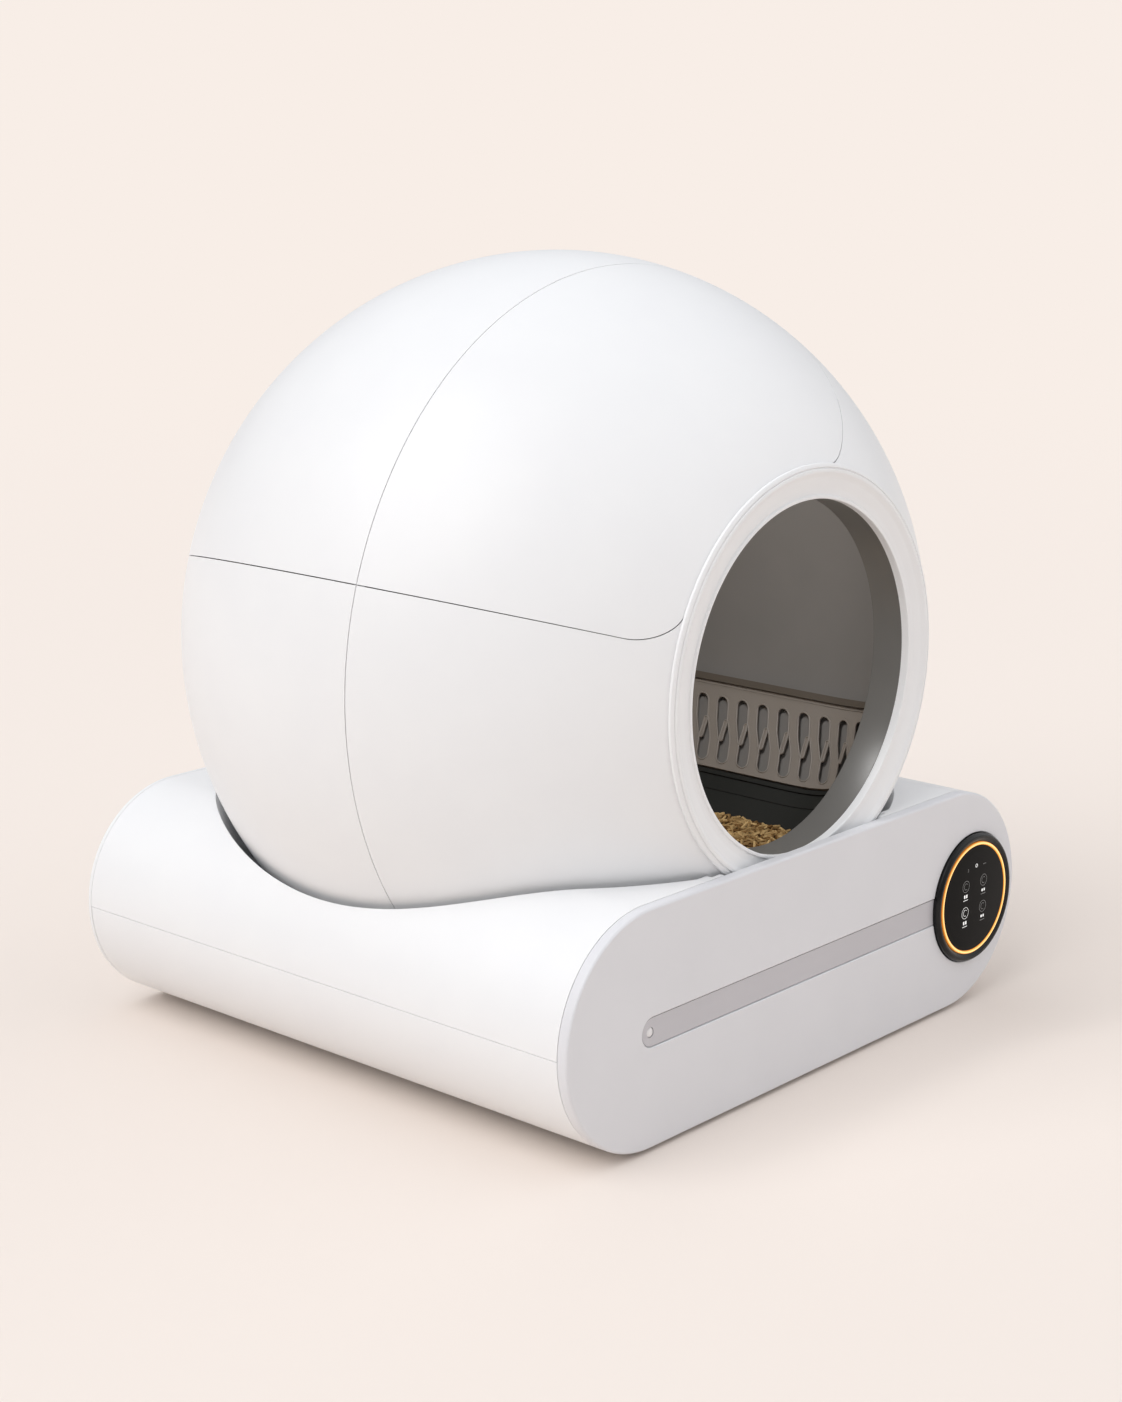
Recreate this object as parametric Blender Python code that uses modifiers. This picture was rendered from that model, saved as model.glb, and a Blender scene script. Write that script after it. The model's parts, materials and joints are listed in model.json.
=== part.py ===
"""Self-cleaning cat litter box with a ball-shaped hood, as an assembly of separate pieces.

Metres, +Z up. The entry faces -Y and the origin is on the floor under the middle of the base.
A fixed white hood, in five shells, stands in the well of a stadium-shaped base. A grey drum
turns inside it about the Y axis on four rollers, driven by a motor and a ring gear. Under the
drum a waste drawer, whose face is the whole front panel, slides out towards -Y.
A clock angle is measured about the drum's axis from +X towards +Z.
"""

import math

import bmesh
import bpy
from mathutils import Vector

GAP = 0.0003

# Base: a stadium outline in XZ, extruded along Y, on four feet.
FOOT_HEIGHT = 0.003
BASE_WIDTH = 0.520
BASE_HEIGHT = 0.1665
BASE_FRONT = -0.2395
BASE_BACK = 0.2385
END_RADIUS = BASE_HEIGHT / 2
BASE_MID = FOOT_HEIGHT + END_RADIUS
BASE_TOP = FOOT_HEIGHT + BASE_HEIGHT
WALL = 0.003
FLOOR_TOP = FOOT_HEIGHT + WALL
PANEL_THICK = 0.008
REAR_PANEL_THICK = 0.004
BODY_FRONT = BASE_FRONT + PANEL_THICK + GAP
BODY_BACK = BASE_BACK - REAR_PANEL_THICK - GAP
FRONT_WALL = 0.0034
ARC_STEPS = 14

# Hood: a slightly flattened ball about the drum's axis, cut flat at the ring and at the back.
AXIS_Z = 0.2875
HOOD_RADIUS = 0.279
HOOD_RATIO = 0.965
HOOD_Y = 0.002
HOOD_WALL = 0.003
HOOD_FOOT_Z = 0.1058
HOOD_BACK_Y = 0.219
SEAM_Y = -0.0575
SEAM_LEFT = 162.6
SEAM_RIGHT = 62.0
RIGHT_CORNER = (20.0, -0.150)
LEFT_CORNER = (9.5, -0.207)
HATCH_CORNER_STEPS = 6
TURN_STEPS = 48

# Entry ring and the collar inside it.
RING_RADIUS = 0.1465
MOUTH_RADIUS = 0.1235
RING_SEAT_Y = HOOD_Y - HOOD_RATIO * math.sqrt(HOOD_RADIUS**2 - RING_RADIUS**2)
RING_CREST_Y = RING_SEAT_Y - 0.0036
COLLAR_BACK_Y = -0.1965

# Well in the base, round the hood.
WELL_RADIUS = 0.2845
WELL_WALL = 0.0025
WELL_FLOOR_TOP = HOOD_FOOT_Z - GAP
WELL_HOLE = 0.200
WELL_FRONT_Y = -0.2235
WELL_BACK_Y = 0.2285
RING_RECESS = 0.1555
RING_NOTCH = 0.1498

# Drum: a barrel about the axis.
DRUM_RADIUS = 0.205
DRUM_WALL = 0.0025
DRUM_FRONT_FLAT = -0.100
DRUM_BACK_FLAT = 0.135
DRUM_FRONT_DEPTH = 0.118
DRUM_BACK_DEPTH = 0.060
DRUM_POWER = 2.6
FRONT_FACETS = 7
BACK_FACETS = 5
DRUM_MOUTH_Y = -0.1985
DRUM_SPLIT_Y = 0.110
PORT_CLOCK = (100.0, 150.0)
PORT_Y = (-0.080, 0.070)
LINER_CLOCK = (-140.0, -44.5)
LINER_THICK = 0.002
SIEVE_CLOCK = (-40.5, -21.0)
SIEVE_Y = (-0.150, 0.150)
SIEVE_STANDOFF = 0.006
SIEVE_THICK = 0.0025
SLOT_PITCH = 0.020
SLOT_COUNT = 14
SLOT_WIDTH = 0.011
SLOT_LENGTH = 0.028
LITTER_TOP = 0.1315

# Drive.
GEAR_TEETH = 60
PINION_TEETH = 6
GEAR_PITCH = 0.2120
PINION_PITCH = GEAR_PITCH * PINION_TEETH / GEAR_TEETH
GEAR_Y = (0.118, 0.130)
PINION_Y = (0.1155, 0.1335)
PINION_CLOCK = -72.0
BACKLASH = 0.0020
GEAR_CENTRES = GEAR_PITCH + PINION_PITCH + 0.0003
SHAFT_RADIUS = 0.003
ROLLER_RADIUS = 0.010
ROLLER_WIDTH = 0.012
ROLLER_CLOCKS = {"right": -57.0, "left": -123.0}
ROLLER_YS = {"front": -0.125, "rear": 0.0905}
ROLLER_CENTRES = DRUM_RADIUS + ROLLER_RADIUS + 0.0005

# Drawer bay.
DRAWER_HALF = 0.178
DRAWER_BACK = 0.100
DRAWER_BOTTOM = 0.0098
DRAWER_TOP = 0.0630
RAIL_HALF = 0.1800
DECK_BOTTOM = 0.0660
DECK_TOP = 0.0690
DECK_BACK = 0.1065
CHUTE_HALF = 0.090
CHUTE_Y = (-0.100, 0.075)

# Front panel: strip, lamp and display disc.
STRIP_Z = (0.0739, 0.0943)
STRIP_LEFT = -0.1857
DISC_X = 0.2010
DISC_Z = 0.0841
BEZEL_RADIUS = 0.0499
BEZEL_PROUD = 0.0042
DISC_STEPS = 36
LAMP_RADIUS = 0.0032
LIGHT_RING = (0.0411, 0.0434)

MATERIALS = {
    "shell_white": ((0.93, 0.93, 0.92), 0.35, 0.0),
    "panel_grey": ((0.78, 0.77, 0.77), 0.40, 0.0),
    "strip_grey": ((0.52, 0.51, 0.51), 0.45, 0.0),
    "drum_grey": ((0.20, 0.19, 0.18), 0.50, 0.0),
    "liner_dark": ((0.035, 0.034, 0.028), 0.60, 0.0),
    "collar_grey": ((0.16, 0.16, 0.16), 0.35, 0.0),
    "litter_tan": ((0.35, 0.22, 0.09), 0.90, 0.0),
    "display_black": ((0.006, 0.006, 0.007), 0.15, 0.0),
    "amber_light": ((0.90, 0.48, 0.10), 0.30, 0.0),
    "lamp_white": ((0.85, 0.85, 0.84), 0.30, 0.0),
    "rubber_grey": ((0.08, 0.08, 0.08), 0.85, 0.0),
    "steel": ((0.60, 0.60, 0.60), 0.30, 1.0),
    "nylon_natural": ((0.70, 0.67, 0.60), 0.45, 0.0),
    "board_green": ((0.02, 0.12, 0.05), 0.55, 0.0),
    "bin_grey": ((0.30, 0.30, 0.31), 0.50, 0.0),
}


def clear_scene():
    for obj in list(bpy.data.objects):
        bpy.data.objects.remove(obj)


def make_collection(name, hidden=False):
    collection = bpy.data.collections.new(name)
    collection.hide_render = hidden
    bpy.context.scene.collection.children.link(collection)
    return collection


def material(name):
    found = bpy.data.materials.get(name)
    if found:
        return found
    colour, roughness, metallic = MATERIALS[name]
    made = bpy.data.materials.new(name)
    made.use_nodes = True
    shader = made.node_tree.nodes["Principled BSDF"]
    shader.inputs["Base Color"].default_value = (*colour, 1.0)
    shader.inputs["Roughness"].default_value = roughness
    shader.inputs["Metallic"].default_value = metallic
    return made


def as_piece(obj, finish, parent=None):
    """Puts the object among the parts, with its material."""
    parts.objects.link(obj)
    obj.data.materials.clear()
    obj.data.materials.append(material(finish))
    obj.data.shade_smooth()
    obj.data.set_sharp_from_angle(angle=math.radians(35))
    if parent:
        obj.parent = parent
        obj.matrix_parent_inverse = parent.matrix_world.inverted()
    return obj


def as_cutter(obj):
    cutters.objects.link(obj)
    obj.hide_render = True
    obj.display_type = "WIRE"
    return obj


def combine(obj, other, operation="DIFFERENCE"):
    boolean = obj.modifiers.new(f"{operation.lower()} {other.name}", "BOOLEAN")
    boolean.operation = operation
    boolean.object = other
    return obj


def mesh_object(name, bm, location=(0, 0, 0), rotation=(0, 0, 0)):
    mesh = bpy.data.meshes.new(name)
    bm.to_mesh(mesh)
    bm.free()
    obj = bpy.data.objects.new(name, mesh)
    obj.location = location
    obj.rotation_euler = rotation
    return obj


def box(name, low, high):
    low, high = Vector(low), Vector(high)
    bm = bmesh.new()
    bmesh.ops.create_cube(bm, size=1)
    bmesh.ops.scale(bm, vec=high - low, verts=bm.verts)
    return mesh_object(name, bm, (low + high) / 2)


def rod(name, x, z, radius, y_low, y_high, segments=20):
    """A round bar along Y."""
    bm = bmesh.new()
    bmesh.ops.create_cone(
        bm,
        cap_ends=True,
        segments=segments,
        radius1=radius,
        radius2=radius,
        depth=y_high - y_low,
    )
    return mesh_object(name, bm, (x, (y_low + y_high) / 2, z), (math.radians(90), 0, 0))


def upright(name, x, y, radius, z_low, z_high, segments=20):
    """A round bar along Z."""
    bm = bmesh.new()
    bmesh.ops.create_cone(
        bm,
        cap_ends=True,
        segments=segments,
        radius1=radius,
        radius2=radius,
        depth=z_high - z_low,
    )
    return mesh_object(name, bm, (x, y, (z_low + z_high) / 2))


def screwed(name, profile, steps, closed):
    """Turns a profile of (radius, height) points about the object's Z axis."""
    bm = bmesh.new()
    verts = [bm.verts.new((radius, 0, height)) for radius, height in profile]
    for first, second in zip(verts, verts[1:]):
        bm.edges.new((first, second))
    if closed:
        bm.edges.new((verts[-1], verts[0]))
    obj = mesh_object(name, bm)
    screw = obj.modifiers.new("turn", "SCREW")
    screw.steps = screw.render_steps = steps
    screw.use_merge_vertices = True
    screw.merge_threshold = 0.0001
    return obj


def turned(name, profile, steps=TURN_STEPS, x=0.0, z=AXIS_Z, closed=True):
    """Turns a profile of (radius, y) points about a line along Y.

    The outer side runs from the back towards the front. A profile that is not closed
    starts and ends on the line.
    """
    obj = screwed(name, profile, steps, closed)
    obj.location = (x, 0, z)
    obj.rotation_euler = (math.radians(-90), 0, 0)
    return obj


def slab(name, outlines, y_low, y_high, x=0.0, z=0.0):
    """Extrudes flat outlines in XZ along Y. Outlines inside the first one are holes."""
    curve = bpy.data.curves.new(name, "CURVE")
    curve.dimensions = "2D"
    curve.fill_mode = "BOTH"
    curve.extrude = (y_high - y_low) / 2
    for outline in outlines:
        spline = curve.splines.new("POLY")
        spline.points.add(len(outline) - 1)
        spline.use_cyclic_u = True
        for point, (across, up) in zip(spline.points, outline):
            point.co = (across, up, 0, 1)
    guide = bpy.data.objects.new(name + " outline", curve)
    bpy.context.scene.collection.objects.link(guide)
    bpy.context.view_layer.update()
    graph = bpy.context.evaluated_depsgraph_get()
    mesh = bpy.data.meshes.new_from_object(guide.evaluated_get(graph))
    bpy.data.objects.remove(guide)
    bm = bmesh.new()
    bm.from_mesh(mesh)
    bmesh.ops.remove_doubles(bm, verts=bm.verts, dist=0.000001)
    bpy.data.meshes.remove(mesh)
    middle = (y_low + y_high) / 2
    return mesh_object(name, bm, (x, middle, z), (math.radians(90), 0, 0))


def stadium(inset=0.0):
    """The base's outline: two half circles joined by straight runs."""
    radius = END_RADIUS - inset
    side = BASE_WIDTH / 2 - END_RADIUS
    points = []
    for centre, start in ((side, -90), (-side, 90)):
        for step in range(ARC_STEPS + 1):
            angle = math.radians(start + 180 * step / ARC_STEPS)
            points.append((centre + radius * math.cos(angle), BASE_MID + radius * math.sin(angle)))
    return points


def circle(radius, steps, x=0.0, z=0.0):
    angles = [2 * math.pi * step / steps for step in range(steps)]
    return [(x + radius * math.cos(a), z + radius * math.sin(a)) for a in angles]


def at_clock(angle, radius):
    """The (x, z) place at a clock angle round the drum's axis."""
    turn = math.radians(angle)
    return radius * math.cos(turn), AXIS_Z + radius * math.sin(turn)


def hood_profile(y_front, y_back, steps):
    """The ring section of the ball's wall between two planes."""

    def arc(radius):
        half = HOOD_RATIO * radius
        start = math.acos((y_back - HOOD_Y) / half)
        stop = math.acos((y_front - HOOD_Y) / half)
        turns = [start + (stop - start) * step / steps for step in range(steps + 1)]
        return [(radius * math.sin(t), HOOD_Y + half * math.cos(t)) for t in turns]

    return arc(HOOD_RADIUS) + arc(HOOD_RADIUS - HOOD_WALL)[::-1]


def drum_radius(y, inset):
    """The barrel's radius at y, moved inwards by inset."""
    if y < DRUM_FRONT_FLAT:
        reach = (DRUM_FRONT_FLAT - y) / (DRUM_FRONT_DEPTH - inset)
    elif y > DRUM_BACK_FLAT:
        reach = (y - DRUM_BACK_FLAT) / (DRUM_BACK_DEPTH - inset)
    else:
        reach = 0.0
    left = max(0.0, 1 - reach**DRUM_POWER)
    return (DRUM_RADIUS - inset) * left ** (1 / DRUM_POWER)


def drum_stations():
    """The y places of the barrel's facets, the same for every skin, closer where it bends."""
    front = [math.sin(math.pi / 2 * step / FRONT_FACETS) for step in range(FRONT_FACETS + 1)]
    back = [math.sin(math.pi / 2 * step / BACK_FACETS) for step in range(BACK_FACETS + 1)]
    return [DRUM_BACK_FLAT + DRUM_BACK_DEPTH * share for share in back[::-1]] + [
        DRUM_FRONT_FLAT - DRUM_FRONT_DEPTH * share for share in front
    ]


def drum_line(y_back, y_front, inset):
    """Points (radius, y) along one skin of the barrel from back to front."""
    stations = drum_stations()

    def on_facet(y):
        for high, low in zip(stations, stations[1:]):
            if high >= y >= low:
                share = (y - low) / (high - low)
                return share * drum_radius(high, inset) + (1 - share) * drum_radius(low, inset)
        return 0.0

    between = [y for y in stations if y_front + 0.001 < y < y_back - 0.001]
    return [(on_facet(y), y) for y in [y_back, *between, y_front]]


def sector(name, stations, radii):
    """A solid swept round the drum's axis through stations of (clock angle, front y, back y).

    Its sections differ, so it is a loft. Each side is split the same way, so that a sector
    made a little larger holds a smaller one.
    """
    bm = bmesh.new()
    rings = []
    for angle, front, back in stations:
        corners = []
        for radius, y in ((radii[0], front), (radii[1], front), (radii[1], back), (radii[0], back)):
            x, z = at_clock(angle, radius)
            corners.append(bm.verts.new((x, y, z)))
        rings.append(corners)
    for here, there in zip(rings, rings[1:]):
        for side in range(4):
            after = (side + 1) % 4
            bm.faces.new((here[side], here[after], there[after]))
            bm.faces.new((here[side], there[after], there[side]))
    bm.faces.new(rings[0][::-1])
    bm.faces.new(rings[-1])
    bmesh.ops.recalc_face_normals(bm, faces=bm.faces)
    return mesh_object(name, bm)


def even_sector(name, clock, radii, ys, steps=18):
    angles = [clock[0] + (clock[1] - clock[0]) * step / steps for step in range(steps + 1)]
    return sector(name, [(angle, *ys) for angle in angles], radii)


def hatch_sector(name, spread):
    """The hatch's outline with its two round corners at the ring, grown all round by spread."""
    half_clock = math.degrees(spread / HOOD_RADIUS) * 1.4
    ahead = BASE_FRONT - 0.02
    sides = []
    for seam, sign, (angle, corner_y) in (
        (SEAM_RIGHT - half_clock, 1, RIGHT_CORNER),
        (SEAM_LEFT + half_clock, -1, LEFT_CORNER),
    ):
        side = []
        for step in range(HATCH_CORNER_STEPS + 1):
            turn = math.pi / 2 * step / HATCH_CORNER_STEPS
            y = corner_y - spread + (RING_SEAT_Y - corner_y) * math.sin(turn)
            side.append((seam + sign * angle * (1 - math.cos(turn)), y))
        side.append((seam + sign * (angle + 0.3), ahead))
        sides.append(side)
    start, stop = sides[0][-1][0], sides[1][-1][0]
    between = [(start + (stop - start) * step / 14, ahead) for step in range(1, 14)]
    stations = [(clock, y, SEAM_Y + spread) for clock, y in [*sides[0], *between, *sides[1][::-1]]]
    return sector(name, stations, (0.090, 0.330))


def build_hood():
    """Five fixed and loose shells of the ball, its back plate, ring and collar."""
    front_zone = hood_profile(RING_SEAT_Y, SEAM_Y - GAP, 8)
    rear_zone = hood_profile(SEAM_Y + GAP, HOOD_BACK_Y, 9)
    below = as_cutter(box("below_hood", (-0.3, -0.3, -0.05), (0.3, 0.3, HOOD_FOOT_Z)))
    hatch_room = as_cutter(hatch_sector("hatch_room", GAP))
    hatch_shape = as_cutter(hatch_sector("hatch_shape", -GAP / 2))
    upper_room = as_cutter(
        even_sector("upper_room", (SEAM_RIGHT - 0.1, SEAM_LEFT + 0.1), (0.09, 0.33), (-0.1, 0.3), 36)
    )
    upper_shape = as_cutter(
        even_sector("upper_shape", (SEAM_RIGHT, SEAM_LEFT), (0.09, 0.33), (-0.1, 0.3), 36)
    )

    front_shell = as_piece(turned("hood_front_shell", front_zone), "shell_white")
    combine(front_shell, hatch_room)
    combine(front_shell, below)
    hatch = as_piece(turned("hood_hatch", front_zone), "shell_white", hatch_guide)
    combine(hatch, hatch_shape, "INTERSECT")
    rear_upper = as_piece(turned("hood_rear_upper", rear_zone), "shell_white")
    combine(rear_upper, upper_shape, "INTERSECT")
    rear_lower = as_piece(turned("hood_rear_lower", rear_zone), "shell_white")
    combine(rear_lower, upper_room)
    combine(rear_lower, below)

    plate_reach = (HOOD_BACK_Y - HOOD_Y) / HOOD_RATIO
    plate_radius = math.sqrt(HOOD_RADIUS**2 - plate_reach**2)
    plate = slab(
        "hood_back_plate",
        [circle(plate_radius, TURN_STEPS)],
        HOOD_BACK_Y + GAP,
        HOOD_BACK_Y + 0.003,
        z=AXIS_Z,
    )
    as_piece(plate, "shell_white")
    for number, clock in enumerate((45, 135, 225, 315), start=1):
        x, z = at_clock(clock, plate_radius - 0.010)
        head = (HOOD_BACK_Y + 0.0033, HOOD_BACK_Y + 0.0058)
        screw = rod(f"back_plate_screw_{number}", x, z, 0.0035, *head, 12)
        as_piece(screw, "steel")

    crest = RING_CREST_Y
    ring_section = [
        (RING_RADIUS - 0.0095, RING_SEAT_Y - GAP),
        (RING_RADIUS + 0.0015, RING_SEAT_Y - GAP),
        (RING_RADIUS + 0.0015, crest + 0.0015),
        (RING_RADIUS - 0.0055, crest),
        (MOUTH_RADIUS + 0.0100, crest + 0.0032),
        (MOUTH_RADIUS, crest + 0.0030),
        (MOUTH_RADIUS, crest + 0.0090),
        (RING_RADIUS - 0.0095, crest + 0.0090),
    ]
    as_piece(turned("entry_ring", ring_section), "shell_white")
    collar_front = crest + 0.0090 + GAP
    collar_section = [
        (MOUTH_RADIUS + 0.0190, collar_front + 0.0025),
        (MOUTH_RADIUS + 0.0190, collar_front),
        (MOUTH_RADIUS + 0.0005, collar_front),
        (MOUTH_RADIUS + 0.0005, COLLAR_BACK_Y),
        (MOUTH_RADIUS + 0.0030, COLLAR_BACK_Y),
        (MOUTH_RADIUS + 0.0030, collar_front + 0.0025),
    ]
    as_piece(turned("entry_collar", collar_section), "collar_grey")


def build_drum():
    """The turning barrel with its back cap, ring gear, sieve, liner and litter."""
    barrel_section = (
        drum_line(DRUM_SPLIT_Y, DRUM_MOUTH_Y, 0)
        + drum_line(DRUM_SPLIT_Y, DRUM_MOUTH_Y, DRUM_WALL)[::-1]
    )
    barrel = as_piece(turned("drum_barrel", barrel_section), "drum_grey", drum_axis)
    port = as_cutter(even_sector("waste_port", PORT_CLOCK, (0.18, 0.22), PORT_Y))
    combine(barrel, port)

    cap_back = DRUM_BACK_FLAT + DRUM_BACK_DEPTH
    outer = drum_line(cap_back, DRUM_SPLIT_Y + GAP, 0)
    inner = [(0, cap_back - DRUM_WALL)]
    inner += drum_line(cap_back - DRUM_WALL, DRUM_SPLIT_Y + GAP, DRUM_WALL)
    cap = turned("drum_back_cap", outer + inner[::-1], closed=False)
    as_piece(cap, "drum_grey", drum_axis)

    tooth = math.pi * GEAR_PITCH / GEAR_TEETH - BACKLASH
    ring_outline = gear_outline(GEAR_TEETH, GEAR_PITCH, tooth, 0.0030, 0.0035)
    gear = slab(
        "gear_ring",
        [ring_outline, circle((DRUM_RADIUS + GAP) / math.cos(math.pi / TURN_STEPS), TURN_STEPS)],
        *GEAR_Y,
        z=AXIS_Z,
    )
    as_piece(gear, "nylon_natural", drum_axis)

    build_liner_and_litter()
    build_sieve()


def gear_outline(teeth, pitch_radius, width, addendum, dedendum, offset=0.0):
    """Straight-flanked teeth, 20 degrees each side. offset turns them, in tooth pitches."""
    slope = math.tan(math.radians(20))
    points = []
    for tooth in range(teeth):
        centre = 2 * math.pi * (tooth + offset) / teeth
        for radius, half in (
            (pitch_radius - dedendum, width / 2 + dedendum * slope),
            (pitch_radius + addendum, width / 2 - addendum * slope),
        ):
            points.append((centre, radius, half / radius))
    outline = []
    for root, tip in zip(points[0::2], points[1::2]):
        for (centre, radius, half), side in ((root, -1), (tip, -1), (tip, 1), (root, 1)):
            angle = centre + side * half
            outline.append((radius * math.cos(angle), radius * math.sin(angle)))
    return outline


def build_liner_and_litter():
    liner_inset = DRUM_WALL + GAP
    back, front = 0.175, -0.175
    section = (
        drum_line(back, front, liner_inset) + drum_line(back, front, liner_inset + LINER_THICK)[::-1]
    )
    liner = as_piece(turned("drum_liner", section), "liner_dark", drum_axis)
    keep = as_cutter(even_sector("liner_room", LINER_CLOCK, (0.05, 0.25), (-0.3, 0.3), 30))
    combine(liner, keep, "INTERSECT")

    bed_inset = liner_inset + LINER_THICK + GAP
    line = drum_line(0.172, -0.172, bed_inset)
    bed_section = [(0, 0.172)] + line + [(0, -0.172)]
    bed = turned("litter_bed", bed_section, closed=False)
    as_piece(bed, "litter_tan", drum_axis)
    low = box("litter_room", (-0.3, -0.3, 0), (0.3, 0.3, LITTER_TOP))
    combine(bed, as_cutter(low), "INTERSECT")


def build_sieve():
    """A slotted tray on the right wall, with a rim that stands it off the barrel."""
    outer = DRUM_WALL + GAP
    inner = outer + SIEVE_STANDOFF + SIEVE_THICK
    back, front = SIEVE_Y[1], SIEVE_Y[0]
    section = drum_line(back, front, outer) + drum_line(back, front, inner)[::-1]
    tray = as_piece(turned("sieve_plate", section), "drum_grey", drum_axis)
    room = as_cutter(even_sector("sieve_room", SIEVE_CLOCK, (0.05, 0.25), (-0.3, 0.3), 12))
    combine(tray, room, "INTERSECT")
    rim = 0.8
    hollow_inner = DRUM_RADIUS - outer - SIEVE_STANDOFF
    hollow = even_sector(
        "sieve_hollow",
        (SIEVE_CLOCK[0] + rim, SIEVE_CLOCK[1] - rim),
        (hollow_inner, 0.25),
        (-0.110, 0.147),
        12,
    )
    combine(tray, as_cutter(hollow))
    combine(tray, as_cutter(sieve_slots()))


def sieve_slots():
    """Two interleaved rows of drop-shaped slots, cut out from the axis."""
    bm = bmesh.new()
    middle = (SIEVE_CLOCK[0] + SIEVE_CLOCK[1]) / 2
    row_shift = math.degrees(0.0115 / 0.194)
    for row in (1, -1):
        for number in range(SLOT_COUNT - (row < 0)):
            y = -0.116 + SLOT_PITCH * (number + (0 if row > 0 else 0.5))
            if y > 0.140:
                continue
            rings = []
            for radius in (0.180, 0.210):
                ring = []
                for wide, along in drop_outline(row):
                    angle = middle + row * row_shift + math.degrees(along / 0.194)
                    x, z = at_clock(angle, radius)
                    ring.append(bm.verts.new((x, y + wide, z)))
                rings.append(ring)
            count = len(rings[0])
            for side in range(count):
                after = (side + 1) % count
                bm.faces.new((rings[0][side], rings[0][after], rings[1][after], rings[1][side]))
            bm.faces.new(rings[0][::-1])
            bm.faces.new(rings[1])
    bmesh.ops.recalc_face_normals(bm, faces=bm.faces)
    return mesh_object("sieve_slots", bm)


def drop_outline(row):
    """A drop with its round end away from the other row: (width, length) points."""
    points = []
    for angle in (0, 60, 120, 180):
        turn = math.radians(angle)
        points.append(
            (
                SLOT_WIDTH / 2 * math.cos(turn),
                row * (SLOT_LENGTH / 2 - SLOT_WIDTH / 2 + SLOT_WIDTH / 2 * math.sin(turn)),
            )
        )
    points.append((0, -row * SLOT_LENGTH / 2))
    return points


def well_solid(name, radius, floor, ys, top=0.200):
    """The ball-shaped room of the well down to its floor, flat at the front and the back."""
    low = floor - AXIS_Z
    high = top - AXIS_Z
    steps = 3
    heights = [high + (low - high) * step / steps for step in range(steps + 1)]
    profile = [(0, high)] + [(math.sqrt(radius**2 - h**2), h) for h in heights] + [(0, low)]
    obj = as_cutter(screwed(name, profile, 60, False))
    obj.location = (0, HOOD_Y, AXIS_Z)
    obj.scale = (1, HOOD_RATIO, 1)
    limits = as_cutter(box(name + "_limits", (-0.35, ys[0], 0.05), (0.35, ys[1], 0.25)))
    return combine(obj, limits, "INTERSECT")


def build_base_shells():
    """Lower shell, upper cover with its well, rear panel and feet."""
    hollow_low, hollow_high = (
        slab(name, [stadium(WALL)], BODY_FRONT + FRONT_WALL, BODY_BACK - WALL)
        for name in ("body_hollow_low", "body_hollow_high")
    )
    upper_half = as_cutter(box("upper_half", (-0.3, -0.3, BASE_MID - GAP), (0.3, 0.3, 0.3)))
    lower_half = as_cutter(box("lower_half", (-0.3, -0.3, -0.1), (0.3, 0.3, BASE_MID)))

    lower = as_piece(slab("base_lower_shell", [stadium()], BODY_FRONT, BODY_BACK), "shell_white")
    combine(lower, upper_half)
    combine(lower, as_cutter(hollow_low))
    doorway = box(
        "drawer_doorway",
        (-RAIL_HALF - WALL - GAP, BODY_FRONT - 0.01, DRAWER_BOTTOM - GAP),
        (RAIL_HALF + WALL + GAP, BODY_FRONT + FRONT_WALL + 0.001, 0.2),
    )
    combine(lower, as_cutter(doorway))
    window = box("contact_window", (0.1895, -0.24, 0.0315), (0.2045, -0.22, 0.0485))
    combine(lower, as_cutter(window))
    jack = as_cutter(rod("jack_hole", -0.095, 0.040, 0.0062, 0.2, 0.3, 16))
    combine(lower, jack)

    cover = as_piece(slab("base_upper_cover", [stadium()], BODY_FRONT, BODY_BACK), "shell_white")
    combine(cover, lower_half)
    well_skin = well_solid(
        "well_skin",
        WELL_RADIUS + WELL_WALL,
        WELL_FLOOR_TOP - WELL_WALL,
        (BODY_FRONT + FRONT_WALL / 2, BODY_BACK - WALL / 2),
    )
    combine(as_cutter(hollow_high), well_skin)
    combine(cover, hollow_high)
    well = well_solid("well_room", WELL_RADIUS, WELL_FLOOR_TOP, (WELL_FRONT_Y, WELL_BACK_Y))
    combine(cover, well)
    hole = upright("well_hole", 0, HOOD_Y, WELL_HOLE, 0.09, 0.15, 56)
    hole.scale = (1, HOOD_RATIO, 1)
    combine(cover, as_cutter(hole))
    recess = rod("ring_recess", 0, AXIS_Z, RING_RECESS, BODY_FRONT + FRONT_WALL, -0.2, 64)
    combine(cover, as_cutter(recess))
    notch = rod("ring_notch", 0, AXIS_Z, RING_NOTCH, BODY_FRONT - 0.001, -0.2, 64)
    combine(cover, as_cutter(notch))

    rear = as_piece(slab("rear_panel", [stadium()], BODY_BACK + GAP, BASE_BACK), "shell_white")
    rear.modifiers.new("edge", "BEVEL").width = 0.0015
    combine(rear, jack)

    for side, x in (("left", -0.150), ("right", 0.150)):
        for end, y in (("front", -0.195), ("rear", 0.195)):
            foot = upright(f"foot_{end}_{side}", x, y, 0.012, 0, FOOT_HEIGHT - GAP)
            as_piece(foot, "rubber_grey")


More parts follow.
